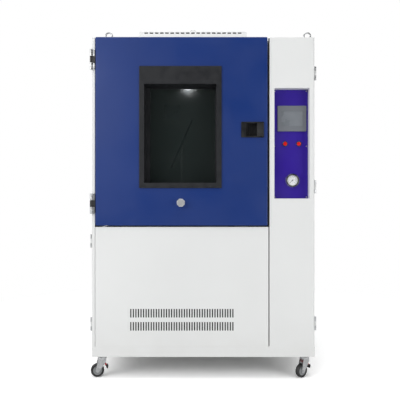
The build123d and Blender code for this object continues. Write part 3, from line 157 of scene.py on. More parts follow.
def mesh_piece(name, verts, faces, finish, body, smooth=False):
    """A mesh in the chamber's frame that rides on a body and takes a slot's finish."""
    mesh = bpy.data.meshes.new(name)
    mesh.from_pydata([tuple(v) for v in verts], [], faces)
    shaped = bmesh.new()
    shaped.from_mesh(mesh)
    bmesh.ops.recalc_face_normals(shaped, faces=shaped.faces)
    shaped.to_mesh(mesh)
    shaped.free()
    if smooth:
        mesh.shade_smooth()
        mesh.set_sharp_from_angle(angle=crease)
    mesh.materials.append(finish)
    piece = bpy.data.objects.new(name, mesh)
    bpy.context.scene.collection.objects.link(piece)
    if body is None:
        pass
    else:
        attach(piece, body)
    return piece


def turned_verts(profile, centre, axis, n, verts, faces, socket_ring=None, hollow=False):
    """Adds a solid of revolution: rings of n corners from (radius, height) pairs along the axis. From the
    socket ring on, the rings are hexagons. A hollow one closes on itself and has no end faces."""
    way = Vector(axis).normalized()
    across = way.orthogonal().normalized()
    third = way.cross(across)
    start = len(verts)
    for row, (radius, height) in enumerate(profile):
        for k in range(n):
            turn = 2 * pi * k / n
            reach = radius
            if socket_ring is not None and row >= socket_ring:
                reach = radius * cos(pi / 6) / cos((turn + pi / 6) % (pi / 3) - pi / 6)
            verts.append(Vector(centre) + way * height + (across * cos(turn) + third * sin(turn)) * reach)
    rows = len(profile)
    for row in range(rows if hollow else rows - 1):
        after = (row + 1) % rows
        for k in range(n):
            beside = (k + 1) % n
            faces.append((start + row * n + k, start + row * n + beside,
                          start + after * n + beside, start + after * n + k))
    if not hollow:
        faces.append(tuple(start + k for k in range(n)))
        faces.append(tuple(start + (rows - 1) * n + k for k in range(n)))


def turned(name, profile, centre, axis, n, finish, body, hollow=False):
    """A solid of revolution as one piece, with radii and heights in millimetres."""
    verts, faces = [], []
    turned_verts([(r * mm, h * mm) for r, h in profile], centre, axis, n, verts, faces, hollow=hollow)
    return mesh_piece(name, verts, faces, finish, body, smooth=True)


def screws(name, spots, axis, radius, finish, body, rise=0.5):
    """Button-head screws at the spots as one mesh, heads towards the axis. The profile runs over the rim and
    the dome into the hexagon socket, whose first ring is the sixth."""
    verts, faces = [], []
    high = radius * rise
    profile = [(radius, -screw_sunk), (radius, high * 0.25), (radius * 0.92, high * 0.6),
               (radius * 0.72, high * 0.9), (radius * 0.5, high), (radius * 0.42, high),
               (radius * 0.40, high * 0.25)]
    for spot in spots:
        turned_verts(profile, spot, axis, screw_corners, verts, faces, socket_ring=5)
    return mesh_piece(name, verts, faces, finish, body, smooth=True)


def blocks(name, boxes, finish, body):
    """Boxes between pairs of opposite corners as one mesh."""
    verts, faces = [], []
    for low, high in boxes:
        start = len(verts)
        for z in (low[2], high[2]):
            verts += [(low[0], low[1], z), (high[0], low[1], z), (high[0], high[1], z), (low[0], high[1], z)]
        faces += [tuple(start + k for k in face) for face in box_faces]
    return mesh_piece(name, verts, faces, finish, body)


# Camera: stands in front of the chamber at about half its height and looks straight back, so that the
# upright edges stay upright. The lens spans 2.22 m across the cabinet's front.
camera_data = bpy.data.cameras.new("camera")
camera = bpy.data.objects.new("camera", camera_data)
bpy.context.scene.collection.objects.link(camera)
camera.location = (-0.019, -3.340, 1.001)
camera.rotation_euler = (radians(90), 0, 0)
camera_data.sensor_width = 36
camera_data.lens = 45.3
bpy.context.scene.camera = camera
bpy.context.scene.view_settings.view_transform = "Standard"

# Studio: a white room that is dim on the camera's side. The camera sees it as plain white; gloss and glass
# see the white behind the chamber and the dim side in front; matt faces are lit more from above.
world = bpy.data.worlds.new("studio")
bpy.context.scene.world = world
world.use_nodes = True
room = world.node_tree
towards = add(room, "SeparateXYZ")
room.links.new(add(room, "TexCoord").outputs["Generated"], towards.inputs[0])
ray = add(room, "LightPath")
mirrored = ranged(room, towards.outputs["Y"], -0.25, 0.25, 0.03, 1.0)
shining = ranged(room, towards.outputs["Z"], 0.1, 0.8, 0.04, 0.85)
polished = calc(room, "MAXIMUM", ray.outputs["Is Glossy Ray"], ray.outputs["Is Transmission Ray"])
unseen = calc(room, "ADD", calc(room, "MULTIPLY", polished, mirrored),
              calc(room, "MULTIPLY", calc(room, "SUBTRACT", 1.0, polished), shining))
direct = ray.outputs["Is Camera Ray"]
indirect = calc(room, "MULTIPLY", unseen, calc(room, "SUBTRACT", 1.0, direct))
sky = room.nodes["Background"]
sky.inputs["Color"].default_value = (1, 1, 1, 1)
room.links.new(calc(room, "MAXIMUM", direct, indirect), sky.inputs["Strength"])

# Softboxes: two large ones beside the camera light the front, one overhead the roof and the hood, and a
# small one high on the left gives the door its highlight. All are turned to the chamber's middle.
lit_point = Vector((0, 0, 0.9))
for name, stand, size, power in (
        ("left_softbox", (-3.4, -2.6, 2.0), 2.2, 66),
        ("right_softbox", (3.4, -3.2, 1.2), 2.2, 60),
        ("top_softbox", (0.0, -0.9, 4.6), 2.8, 60),
        ("door_softbox", (-1.7, -3.3, 2.2), 1.0, 16)):
    lamp_data = bpy.data.lights.new(name, "AREA")
    lamp_data.size = size
    lamp_data.energy = power
    lamp = bpy.data.objects.new(name, lamp_data)
    lamp.location = stand
    lamp.rotation_euler = (lit_point - Vector(stand)).to_track_quat("-Z", "Y").to_euler()
    bpy.context.scene.collection.objects.link(lamp)

# Floor: pale seamless studio floor, which keeps the soft shadow under the plinth. The camera sees it fade
# to plain white away from the chamber, so that no horizon shows.
floor_reach, fade_start, fade_end = 14, 1.2, 2.6
floor_paint, tree, shader = material("studio_floor", Roughness=0.9, Specular_IOR_Level=0.1)
spot = add(tree, "TexCoord").outputs["Object"]
tone = ranged(tree, noise(tree, spot, 0.7), 0.3, 0.7, 0.0, 1.0)
pale = blend(tree, tone, (0.58, 0.58, 0.58, 1), (0.60, 0.60, 0.60, 1))
bright = blend(tree, tone, (1.34, 1.34, 1.34, 1), (1.38, 1.38, 1.38, 1))
seen = add(tree, "LightPath").outputs["Is Camera Ray"]
tree.links.new(blend(tree, seen, pale, bright), shader.inputs["Base Color"])
around = add(tree, "VectorMath", {"operation": "LENGTH"})
tree.links.new(spot, around.inputs[0])
far = calc(tree, "MULTIPLY", ranged(tree, around.outputs["Value"], fade_start, fade_end, 0.0, 1.0), seen)
far_white = add(tree, "Emission", Strength=1.0)
merge = add(tree, "MixShader")
tree.links.new(far, merge.inputs[0])
tree.links.new(shader.outputs[0], merge.inputs[1])
tree.links.new(far_white.outputs[0], merge.inputs[2])
tree.links.new(merge.outputs[0], tree.nodes["Material Output"].inputs["Surface"])
mesh_piece("floor", [(-floor_reach, -floor_reach, 0), (floor_reach, -floor_reach, 0),
                     (floor_reach, floor_reach, 0), (-floor_reach, floor_reach, 0)],
           [(0, 1, 2, 3)], floor_paint, None)

# Cabinet: folded steel sheet under a white powder coat with a fine orange peel. The folds carry a painted
# highlight, a lighter tint broken up by noise, and a little dust lies on what faces up and near the floor.
peel_depth, fold_radius = 0.1 * mm, 1.8 * mm
powder, given, out = shader_group(
    "powder_coat",
    [("Colour", "Color", (1, 1, 1, 1)), ("Tone", "Float", 0.03), ("Gloss Base", "Float", 0.4),
     ("Gloss Spread", "Float", 0.08), ("Peel Scale", "Float", 330)],
    [("Colour", "Color"), ("Roughness", "Float"), ("Height", "Float")])
spot = add(powder, "TexCoord").outputs["Object"]
mottle = ranged(powder, noise(powder, spot, 1.6, 3), 0.3, 0.7, 0.0, 1.0)
darker = blend(powder, given.outputs["Tone"], given.outputs["Colour"], (0, 0, 0, 1))
powder.links.new(blend(powder, mottle, darker, given.outputs["Colour"]), out.inputs["Colour"])
smear = ranged(powder, noise(powder, spot, 5.0, 4), 0.35, 0.65, -0.5, 0.5)
powder.links.new(calc(powder, "ADD", calc(powder, "MULTIPLY", smear, given.outputs["Gloss Spread"]),
                      given.outputs["Gloss Base"]), out.inputs["Roughness"])
powder.links.new(noise(powder, spot, given.outputs["Peel Scale"], 1), out.inputs["Height"])

settled, given, out = shader_group(
    "settled_dust",
    [("Colour", "Color", (1, 1, 1, 1)), ("Roughness", "Float", 0.4), ("Dust", "Color", (0.5, 0.46, 0.4, 1)),
     ("Amount", "Float", 0.3), ("Reach", "Float", 0.35)],
    [("Colour", "Color"), ("Roughness", "Float")])
coords = add(settled, "TexCoord")
up = add(settled, "SeparateXYZ")
settled.links.new(coords.outputs["Normal"], up.inputs[0])
where = add(settled, "SeparateXYZ")
settled.links.new(coords.outputs["Object"], where.inputs[0])
on_top = calc(settled, "POWER", calc(settled, "MAXIMUM", up.outputs["Z"], 0.0), 4.0)
low_down = ranged(settled, where.outputs["Z"], 0.0, given.outputs["Reach"], 1.0, 0.0)
patchy = ranged(settled, noise(settled, coords.outputs["Object"], 9.0, 6), 0.35, 0.7, 0.15, 1.0)
lying = calc(settled, "MAXIMUM", on_top, calc(settled, "MULTIPLY", low_down, 0.7))
cover = calc(settled, "MULTIPLY", calc(settled, "MULTIPLY", lying, patchy), given.outputs["Amount"])
settled.links.new(blend(settled, cover, given.outputs["Colour"], given.outputs["Dust"]),
                  out.inputs["Colour"])
settled.links.new(ranged(settled, cover, 0.0, 1.0, given.outputs["Roughness"], 0.9),
                  out.inputs["Roughness"])

# Painted highlight: a lighter colour on the folds, which the bevel finds, broken up by noise.
edge_highlight, given, out = shader_group(
    "painted_edge_highlight",
    [("Colour", "Color", (1, 1, 1, 1)), ("Rubbed", "Color", (0.6, 0.6, 0.6, 1)), ("Amount", "Float", 0.5)],
    [("Colour", "Color"), ("Mask", "Float")])
true_normal = add(edge_highlight, "NewGeometry").outputs["Normal"]
soft_normal = add(edge_highlight, "Bevel", {"samples": 4}, Radius=fold_radius).outputs["Normal"]
turn = add(edge_highlight, "VectorMath", {"operation": "DOT_PRODUCT"})
edge_highlight.links.new(true_normal, turn.inputs[0])
edge_highlight.links.new(soft_normal, turn.inputs[1])
fold = ranged(edge_highlight, turn.outputs["Value"], 0.99, 0.80, 0.0, 1.0)
spot = add(edge_highlight, "TexCoord").outputs["Object"]
broken = calc(edge_highlight, "MULTIPLY", fold, ranged(edge_highlight, noise(edge_highlight, spot, 30.0, 4), 0.42, 0.62, 0.0, 1.0))
edge = calc(edge_highlight, "MULTIPLY", broken, given.outputs["Amount"])
edge_highlight.links.new(edge, out.inputs["Mask"])
edge_highlight.links.new(blend(edge_highlight, edge, given.outputs["Colour"], given.outputs["Rubbed"]),
                 out.inputs["Colour"])


def painted(name, colour, gloss, highlight_amount, highlight_colour, dust=0.25, peel=0.35, spread=0.08, tone=0.04):
    """Powder-coated sheet: peel, a painted highlight on the folds and settled dust over one colour."""
    made, tree, shader = material(name, IOR=1.5)
    coat = place(tree, powder, Colour=colour, Tone=tone, Gloss_Base=gloss, Gloss_Spread=spread)
    edges = place(tree, edge_highlight, Rubbed=highlight_colour, Amount=highlight_amount)
    dusty = place(tree, settled, Amount=dust)
    tree.links.new(coat.outputs["Colour"], edges.inputs["Colour"])
    tree.links.new(edges.outputs["Colour"], dusty.inputs["Colour"])
    tree.links.new(coat.outputs["Roughness"], dusty.inputs["Roughness"])
    tree.links.new(dusty.outputs["Colour"], shader.inputs["Base Color"])
    tree.links.new(dusty.outputs["Roughness"], shader.inputs["Roughness"])
    relief(tree, coat.outputs["Height"], shader, peel_depth, peel)
    return made


white_coat = painted("white_powder_coat", (0.79, 0.80, 0.795, 1), 0.42, 0.35, (0.88, 0.88, 0.86, 1))
for name in ("base_frame", "left_side_panel", "right_side_panel", "rear_panel", "roof_panel", "roof_hood",
             "column_front", "lower_front_panel", "left_service_door", "right_service_door"):
    shade(name, white_coat)

# Sheet screws: zinc-plated button heads with a hexagon socket, which hold the roof and the rear panel to
# the frame. They stand in rows along the sheets' edges, and each sheet's screws are one mesh.
zinc_group, given, out = shader_group(
    "zinc_bloom",
    [("Colour", "Color", (0.6, 0.6, 0.6, 1)), ("Bloom", "Float", 0.25), ("Gloss", "Float", 0.3)],
    [("Colour", "Color"), ("Roughness", "Float")])
spot = add(zinc_group, "TexCoord").outputs["Object"]
cloud = ranged(zinc_group, noise(zinc_group, spot, 60.0, 4), 0.35, 0.65, 0.0, 1.0)
dull = blend(zinc_group, given.outputs["Bloom"], given.outputs["Colour"], (0.12, 0.13, 0.14, 1))
zinc_group.links.new(blend(zinc_group, cloud, given.outputs["Colour"], dull), out.inputs["Colour"])
zinc_group.links.new(calc(zinc_group, "ADD", given.outputs["Gloss"],
                          calc(zinc_group, "MULTIPLY", cloud, 0.15)), out.inputs["Roughness"])


def plated(name, colour, bloom, gloss):
    """Plated metal with cloudy patches."""
    made, tree, shader = material(name, Metallic=1.0)
    node = place(tree, zinc_group, Colour=colour, Bloom=bloom, Gloss=gloss)
    tree.links.new(node.outputs["Colour"], shader.inputs["Base Color"])
    tree.links.new(node.outputs["Roughness"], shader.inputs["Roughness"])
    return made


zinc = plated("zinc_plate", (0.66, 0.67, 0.68, 1), 0.3, 0.28)
steel_screw = plated("screw_zinc", (0.72, 0.72, 0.72, 1), 0.2, 0.22)
sheet_screw_r = 5 * mm
roof_side_x, roof_back_y, roof_rows_y = 0.605, 0.545, (-0.39, -0.15, 0.10, 0.35, 0.53)
screws("roof_screws", [(x, y, roof_z) for x in (-roof_side_x, roof_side_x) for y in roof_rows_y]
       + [(x, roof_back_y, roof_z) for x in cross_row],
       (0, 0, 1), sheet_screw_r, steel_screw, "cabinet")
rear_side_x, rear_rows_z = 0.607, (0.21, 0.49, 0.77, 1.05, 1.33, 1.61, 1.88)
screws("rear_screws", [(x, back_y, z) for x in (-rear_side_x, rear_side_x) for z in rear_rows_z]
       + [(x, back_y, z) for z in (rear_rows_z[0], rear_rows_z[-1]) for x in cross_row],
       (0, 1, 0), sheet_screw_r, steel_screw, "cabinet")

# Hood: a tapered sheet cover over the roof's opening. Its slots are backed by a fine black steel mesh,
# whose near-black holes paint the shade inside the hood, and its foot flange is screwed to the roof.
# Painted shade: the mesh's holes are near black, for the dark space behind any slot that it backs.
black_mesh_shade, tree, shader = material("black_mesh_painted_shade", Metallic=0.2)
spot = add(tree, "TexCoord").outputs["Object"]
cells = add(tree, "TexVoronoi", {"feature": "DISTANCE_TO_EDGE"}, Scale=700.0)
tree.links.new(spot, cells.inputs["Vector"])
wire = ranged(tree, cells.outputs["Distance"], 0.05, 0.15, 1.0, 0.0)
tree.links.new(blend(tree, wire, (0.004, 0.004, 0.004, 1), (0.035, 0.035, 0.037, 1)),
               shader.inputs["Base Color"])
tree.links.new(ranged(tree, wire, 0.0, 1.0, 0.9, 0.5), shader.inputs["Roughness"])
hood_x0, hood_x1, hood_y0, hood_y1 = -0.380, 0.258, -0.329, -0.051
mesh_z0, mesh_z1, mesh_sheet = 1.984, 2.003, 1 * mm
blocks("hood_mesh_shade", [((hood_x0, hood_y0, mesh_z0), (hood_x1, hood_y0 + mesh_sheet, mesh_z1)),
                     ((hood_x0, hood_y1 - mesh_sheet, mesh_z0), (hood_x1, hood_y1, mesh_z1))],
       black_mesh_shade, "cabinet")
foot_sheet, foot_screw_r = 2 * mm, 4 * mm
foot_rows_y, foot_row_x = (-0.350, -0.030), (-0.34, -0.15, 0.03, 0.22)
screws("hood_screws", [(x, y, roof_z + foot_sheet) for y in foot_rows_y for x in foot_row_x],
       (0, 0, 1), foot_screw_r, steel_screw, "cabinet")

# Lifting eyes: forged steel rings on collars, zinc plated, whose shanks go through the roof sheet.
shade("lifting_eyes", zinc)

# Lower cover: a folded cover that closes the machine space under the door. Its slots are backed by a black
# filter mat, which is held inside the cover, and whose near-black holes paint the shade of the space behind.
mat_x0, mat_x1, mat_z0, mat_z1 = -0.425, 0.185, 0.262, 0.407
mat_y0, mat_y1 = front_y + 6 * mm, front_y + 9 * mm
blocks("vent_mat_shade", [((mat_x0, mat_y0, mat_z0), (mat_x1, mat_y1, mat_z1))],
       black_mesh_shade, "cabinet")

# Rear slots: two blocks of slots in the rear panel, one low for the machine space and one high for the
# electrical bay, each backed by the same wire mesh, held inside the panel, whose holes paint the shade
# behind.
rear_y0, rear_y1 = back_y - 5 * mm, back_y - 3 * mm
low_slots, high_slots = (-0.490, -0.170, 0.580, 0.660), (0.395, 0.590, 1.560, 1.640)
blocks("rear_vent_mesh_shade", [((x0, rear_y0, z0), (x1, rear_y1, z1))
                          for x0, x1, z0, z1 in (low_slots, high_slots)],
       black_mesh_shade, "cabinet")

# Chamber: brushed stainless liner, hopper and shelf. The sheet metal around it, the duct and the blower are
# galvanised.
brush_depth = 0.01 * mm
brushed, given, out = shader_group(
    "brushed_sheet",
    [("Colour", "Color", (0.6, 0.6, 0.6, 1)), ("Along", "Vector", (1, 1, 1)), ("Gloss", "Float", 0.3),
     ("Streak", "Float", 0.12)],
    [("Colour", "Color"), ("Roughness", "Float"), ("Height", "Float")])
spot = add(brushed, "TexCoord").outputs["Object"]
streak = noise(brushed, spot, 60.0, 3, given.outputs["Along"])
stain = ranged(brushed, noise(brushed, spot, 4.0, 4), 0.3, 0.7, 0.0, 1.0)
dimmed = blend(brushed, given.outputs["Streak"], given.outputs["Colour"], (0.08, 0.08, 0.08, 1))
lined = blend(brushed, ranged(brushed, streak, 0.3, 0.7, 0.0, 1.0), given.outputs["Colour"], dimmed)
brushed.links.new(blend(brushed, calc(brushed, "MULTIPLY", stain, 0.15), lined, (0.30, 0.28, 0.25, 1)),
                  out.inputs["Colour"])
brushed.links.new(calc(brushed, "ADD", given.outputs["Gloss"],
                       calc(brushed, "MULTIPLY", ranged(brushed, streak, 0.3, 0.7, -0.5, 0.5), 0.2)),
                  out.inputs["Roughness"])
brushed.links.new(streak, out.inputs["Height"])


def stainless_sheet(name, colour, along, gloss, streak):
    """Brushed stainless steel with its grain along one axis."""
    made, tree, shader = material(name, Metallic=1.0)
    node = place(tree, brushed, Colour=colour, Along=along, Gloss=gloss, Streak=streak)
    tree.links.new(node.outputs["Colour"], shader.inputs["Base Color"])
    tree.links.new(node.outputs["Roughness"], shader.inputs["Roughness"])
    relief(tree, node.outputs["Height"], shader, brush_depth, 0.2)
    return made


liner_steel = stainless_sheet("liner_stainless", (0.50, 0.51, 0.49, 1), (0.05, 0.05, 14), 0.36, 0.12)
trim_steel = stainless_sheet("trim_stainless", (0.62, 0.62, 0.60, 1), (14, 14, 0.05), 0.28, 0.15)
galvanised = plated("galvanised_sheet", (0.52, 0.54, 0.56, 1), 0.5, 0.4)
for name in ("chamber_liner", "dust_hopper", "door_inner_panel"):
    shade(name, liner_steel)
for name in ("shelf", "window_retainer", "cable_port", "wiper_arm"):
    shade(name, trim_steel)
for name in ("inner_partitions", "riser_duct", "blower_housing", "blower_impeller"):
    shade(name, galvanised)

# Insulation: yellow rigid foam, foamed around the liner and inside the door, where it fills the space
# between the sheets.
pore_depth = 0.6 * mm
foam, tree, shader = material("rigid_foam", Roughness=0.95)
spot = add(tree, "TexCoord").outputs["Object"]
pores = noise(tree, spot, 350.0, 3)
pored = ranged(tree, pores, 0.35, 0.65, 0, 1)
tree.links.new(blend(tree, pored, (0.62, 0.52, 0.33, 1), (0.78, 0.70, 0.50, 1)),
               shader.inputs["Base Color"])
relief(tree, pores, shader, pore_depth, 0.6)
shade("insulation", foam)
shade("door_core", foam)

# Blower motor: a closed cast case under dark grey-blue enamel. It stands on the floor pan and carries the
# blower's housing.
motor_case = painted("motor_enamel", (0.10, 0.13, 0.17, 1), 0.45, 0.5, (0.4, 0.4, 0.4, 1))
shade("blower_motor", motor_case)

# Lamp: a frosted glass dome on the chamber's ceiling, lit by the bulb inside it.
frosted, tree, shader = material("lit_dome", Roughness=0.35, Emission_Strength=4.0)
spot = add(tree, "TexCoord").outputs["Object"]
glow = ranged(tree, noise(tree, spot, 30.0, 2), 0.3, 0.7, 0.0, 1.0)
warm = blend(tree, glow, (0.80, 0.88, 1.0, 1), (1.0, 1.0, 1.0, 1))
tree.links.new(warm, shader.inputs["Base Color"])
tree.links.new(warm, shader.inputs["Emission Color"])
shade("chamber_lamp", frosted)

# Door: folded steel sheet under a blue satin powder coat, with a black sponge seal on its back that meets
# the liner's frame.
grain_depth = 0.1 * mm
blue_coat = painted("blue_powder_coat", (0.004, 0.031, 0.185, 1), 0.42, 0.30, (0.10, 0.16, 0.36, 1),
                    dust=0.10, spread=0.12, tone=0.10)
shade("door_skin", blue_coat)

rubber_group, given, out = shader_group(
    "rubber_skin",
    [("Colour", "Color", (0.02, 0.02, 0.02, 1)), ("Bloom", "Float", 0.2), ("Gloss", "Float", 0.6)],
    [("Colour", "Color"), ("Roughness", "Float"), ("Height", "Float")])
spot = add(rubber_group, "TexCoord").outputs["Object"]
haze = ranged(rubber_group, noise(rubber_group, spot, 25.0, 5), 0.4, 0.7, 0.0, 1.0)
greyed = blend(rubber_group, given.outputs["Bloom"], given.outputs["Colour"], (0.16, 0.16, 0.16, 1))
rubber_group.links.new(blend(rubber_group, haze, given.outputs["Colour"], greyed), out.inputs["Colour"])
rubber_group.links.new(calc(rubber_group, "ADD", given.outputs["Gloss"],
                            calc(rubber_group, "MULTIPLY", haze, 0.2)), out.inputs["Roughness"])
rubber_group.links.new(noise(rubber_group, spot, 900.0, 2), out.inputs["Height"])


def moulded(name, colour, bloom, gloss, grain=0.3):
    """Moulded rubber or plastic with a fine grain and a hazy bloom."""
    made, tree, shader = material(name, IOR=1.48)
    node = place(tree, rubber_group, Colour=colour, Bloom=bloom, Gloss=gloss)
    tree.links.new(node.outputs["Colour"], shader.inputs["Base Color"])
    tree.links.new(node.outputs["Roughness"], shader.inputs["Roughness"])
    relief(tree, node.outputs["Height"], shader, grain_depth, grain)
    return made


seal_rubber = moulded("seal_rubber", (0.012, 0.012, 0.013, 1), 0.15, 0.7)
shade("door_gasket", seal_rubber)
shade("wiper_blade", seal_rubber)

# Column seal: a black sponge strip in the gap between the door's edge and the column, whose black paints the
# shade deep in the gap. It is glued to the column's side over the height of the door.
strip_low, strip_high = (0.3625, -0.538, 0.863), (0.368, -0.527, 1.902)
blocks("column_seal_shade", [(strip_low, strip_high)], seal_rubber, "cabinet")

# Window: charcoal moulded frame with its tunnel, toned glass at the door's inner face, and a steel ring
# that clamps the glass from the chamber's side with button-head screws.
bezel_nylon = moulded("charcoal_frame", (0.007, 0.008, 0.011, 1), 0.05, 0.5, 0.4)
shade("window_bezel", bezel_nylon)
glass, tree, shader = material("toned_glass", IOR=1.5, Alpha=0.55)
spot = add(tree, "TexCoord").outputs["Object"]
wiped = ranged(tree, noise(tree, spot, 6.0, 5), 0.4, 0.7, 0.0, 1.0)
tree.links.new(blend(tree, wiped, (0.020, 0.028, 0.027, 1), (0.030, 0.038, 0.037, 1)),
               shader.inputs["Base Color"])
tree.links.new(ranged(tree, wiped, 0.0, 1.0, 0.0, 0.03), shader.inputs["Roughness"])
shade("window_glass", glass)
ring_x, ring_y, ring_z, ring_screw_r = (-0.349, 0.092), -0.438, (1.076, 1.664), 3.2 * mm
upright_row, level_row = (1.10, 1.21, 1.31, 1.43, 1.53, 1.64), (-0.26, -0.17, -0.08, 0.01)
screws("ring_screws", [(x, ring_y, z) for x in ring_x for z in upright_row]
       + [(x, ring_y, z) for z in ring_z for x in level_row],
       (0, 1, 0), ring_screw_r, steel_screw, "door")

# Wiper: a turned aluminium knob outside, whose shaft passes through the door and turns the arm and its
# rubber blade over the glass inside.
knob_metal = plated("satin_aluminium", (0.90, 0.91, 0.92, 1), 0.06, 0.34)
shade("wiper_knob", knob_metal)

# Hinges and caster plates: pressed steel. The leaves on the door and the caster plates have a black coat,
# and the brackets on the cabinet and the service doors' hinges are zinc plated.
black_coat = painted("black_coat", (0.018, 0.018, 0.020, 1), 0.4, 0.6, (0.25, 0.25, 0.25, 1), dust=0.1)
shade("door_hinge_leaves", black_coat)
shade("door_hinge_brackets", zinc)
shade("service_hinges", zinc)
shade("caster_plates", black_coat)

# Latch: black moulded housing set in the door, with a paddle of the same nylon, a little greyer, that is
# pulled to draw the zinc-plated bolt.
latch_nylon = moulded("latch_nylon", (0.005, 0.0055, 0.007, 1), 0.06, 0.42, 0.5)
paddle_nylon = moulded("paddle_nylon", (0.008, 0.0085, 0.010, 1), 0.10, 0.48, 0.4)
shade("latch_housing", latch_nylon)
shade("latch_paddle", paddle_nylon)
shade("latch_bolt", zinc)

# Control panel: violet-blue coated plate in the column's recess, held by six screws.
violet_coat = painted("violet_panel", (0.027, 0.006, 0.285, 1), 0.36, 0.3, (0.2, 0.15, 0.5, 1),
                      dust=0.05, peel=0.15, spread=0.10, tone=0.06)
shade("panel_plate", violet_coat)
shade("panel_screws", steel_screw)

# Touch panel: grey moulded housing fixed to the plate, around an unlit display behind its film.
housing_grey = moulded("housing_grey", (0.155, 0.168, 0.190, 1), 0.15, 0.45, 0.3)
shade("hmi_housing", housing_grey)
film, tree, shader = material("display_film", IOR=1.5, Coat_Weight=0.6, Coat_Roughness=0.15)
spot = add(tree, "TexCoord").outputs["Object"]
mura = ranged(tree, noise(tree, spot, 8.0, 3), 0.35, 0.65, 0.0, 1.0)
tree.links.new(blend(tree, mura, (0.175, 0.192, 0.212, 1), (0.215, 0.232, 0.255, 1)),
               shader.inputs["Base Color"])
tree.links.new(ranged(tree, mura, 0.0, 1.0, 0.25, 0.35), shader.inputs["Roughness"])
shade("hmi_display", film)

# Push buttons: red moulded caps that slide in chrome-plated rings, which are clamped in the plate.
red_cap = moulded("red_cap", (0.66, 0.004, 0.006, 1), 0.0, 0.3, 0.1)
shade("power_button", red_cap)
shade("run_button", red_cap)
chrome = plated("bright_chrome", (0.80, 0.80, 0.81, 1), 0.08, 0.12)
shade("button_bezels", chrome)

# Gauge: a chrome-plated case with a white enamel dial, a black needle and a clear lens. The dial's scale is
# printed: 50 steps over 270 degrees, each fifth mark longer, and a numeral at every other long one.
shade("gauge_case", chrome)
shade("gauge_needle", black_coat)
lens, tree, shader = material("clear_lens", IOR=1.45, Alpha=0.06)
spot = add(tree, "TexCoord").outputs["Object"]
clear = ranged(tree, noise(tree, spot, 40.0, 2), 0.3, 0.7, 0.0, 1.0)
tree.links.new(blend(tree, clear, (0.97, 0.98, 0.98, 1), (1, 1, 1, 1)), shader.inputs["Base Color"])
tree.links.new(ranged(tree, clear, 0.0, 1.0, 0.0, 0.01), shader.inputs["Roughness"])
shade("gauge_lens", lens)

dial_centre = Vector((0.502, -0.500, 1.111))
enamel, tree, shader = material("dial_enamel", Roughness=0.4)
spot = add(tree, "TexCoord").outputs["Object"]
tone = ranged(tree, noise(tree, spot, 60.0, 2), 0.3, 0.7, 0.0, 1.0)
tree.links.new(blend(tree, tone, (0.80, 0.81, 0.83, 1), (0.84, 0.85, 0.86, 1)), shader.inputs["Base Color"])
dial_section = [(1.8, 0), (28.4, 0), (28.4, 0.4), (1.8, 0.4)]
turned("gauge_dial", dial_section, dial_centre, (0, -1, 0), 64, enamel, "cabinet", True)
black_ink_and_slot_shade = moulded("black_ink_and_slot_shade", (0.02, 0.02, 0.022, 1), 0.1, 0.5, 0.1)
scale_start, scale_sweep, scale_steps = 225, 270, 50
long_mark, short_mark = (6.0, 0.5), (3.2, 0.25)
mark_reach, mark_back, mark_front = 27, 0.35, 0.55
verts, faces = [], []
for step in range(scale_steps + 1):
    turn = radians(scale_start - scale_sweep * step / scale_steps)
    long, wide = long_mark if step % 5 == 0 else short_mark
    along = Vector((cos(turn), 0, sin(turn)))
    side = Vector((-sin(turn), 0, cos(turn)))
    start = len(verts)
    for deep in (mark_back, mark_front):
        for reach, off in ((mark_reach - long, -wide), (mark_reach, -wide),
                           (mark_reach, wide), (mark_reach - long, wide)):
            verts.append(dial_centre + (along * reach + side * off + Vector((0, -deep, 0))) * mm)
    faces += [tuple(start + k for k in face) for face in box_faces]
mesh_piece("dial_scale", verts, faces, black_ink_and_slot_shade, "cabinet")
numeral_reach, numeral_front, numeral_size, numeral_thick = 17.5 * mm, 0.5 * mm, 6.5 * mm, 0.1 * mm
numerals = bmesh.new()
for tenth in range(0, 11, 2):
    turn = radians(scale_start - scale_sweep * tenth / 10)
    figure = bpy.data.curves.new("figure", "FONT")
    figure.body = str(tenth)
    figure.size = numeral_size
    figure.extrude = numeral_thick
    figure.align_x = "CENTER"
    figure.align_y = "CENTER"
    holder = bpy.data.objects.new("figure", figure)
    outline = bpy.data.meshes.new_from_object(holder)
    at = dial_centre + Vector((cos(turn) * numeral_reach, -numeral_front, sin(turn) * numeral_reach))
    outline.transform(Matrix.Translation(at) @ Matrix.Rotation(radians(90), 4, "X"))
    numerals.from_mesh(outline)
    bpy.data.objects.remove(holder)
numeral_mesh = bpy.data.meshes.new("dial_numerals")
numerals.to_mesh(numeral_mesh)
numeral_mesh.materials.append(black_ink_and_slot_shade)
dial_numerals = bpy.data.objects.new("dial_numerals", numeral_mesh)
bpy.context.scene.collection.objects.link(dial_numerals)
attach(dial_numerals, "cabinet")

# Service doors: folded sheet doors, each held shut by slotted quarter-turn locks near its rear edge. A lock
# is a zinc-plated button, and the black line across it is painted shade for its screwdriver slot.
lock_y, lock_section = 0.470, [(11, -0.2), (11, 2.2), (9.5, 3.2), (0.01, 3.2)]
slot_x, slot_deep, slot_long, slot_wide = 3.1 * mm, 0.15 * mm, 7 * mm, 1 * mm
for body, x, zs in (("left_service_door", -half_x, (0.33, 0.73)),
                    ("right_service_door", half_x, (0.32, 1.045, 1.77))):
    way = 1 if x > 0 else -1
    for count, z in enumerate(zs):
        turned(f"{body}_lock_{count}", lock_section, (x, lock_y, z), (way, 0, 0), 32, zinc, body)
    face_x = x + way * slot_x
    # Painted shade: a thin black strip on each lock's face, for the dark of its screwdriver slot.
    blocks(f"{body}_lock_slot_shade",
           [((face_x - slot_deep, lock_y - slot_long, z - slot_wide),
             (face_x + slot_deep, lock_y + slot_long, z + slot_wide)) for z in zs],
           black_ink_and_slot_shade, body)

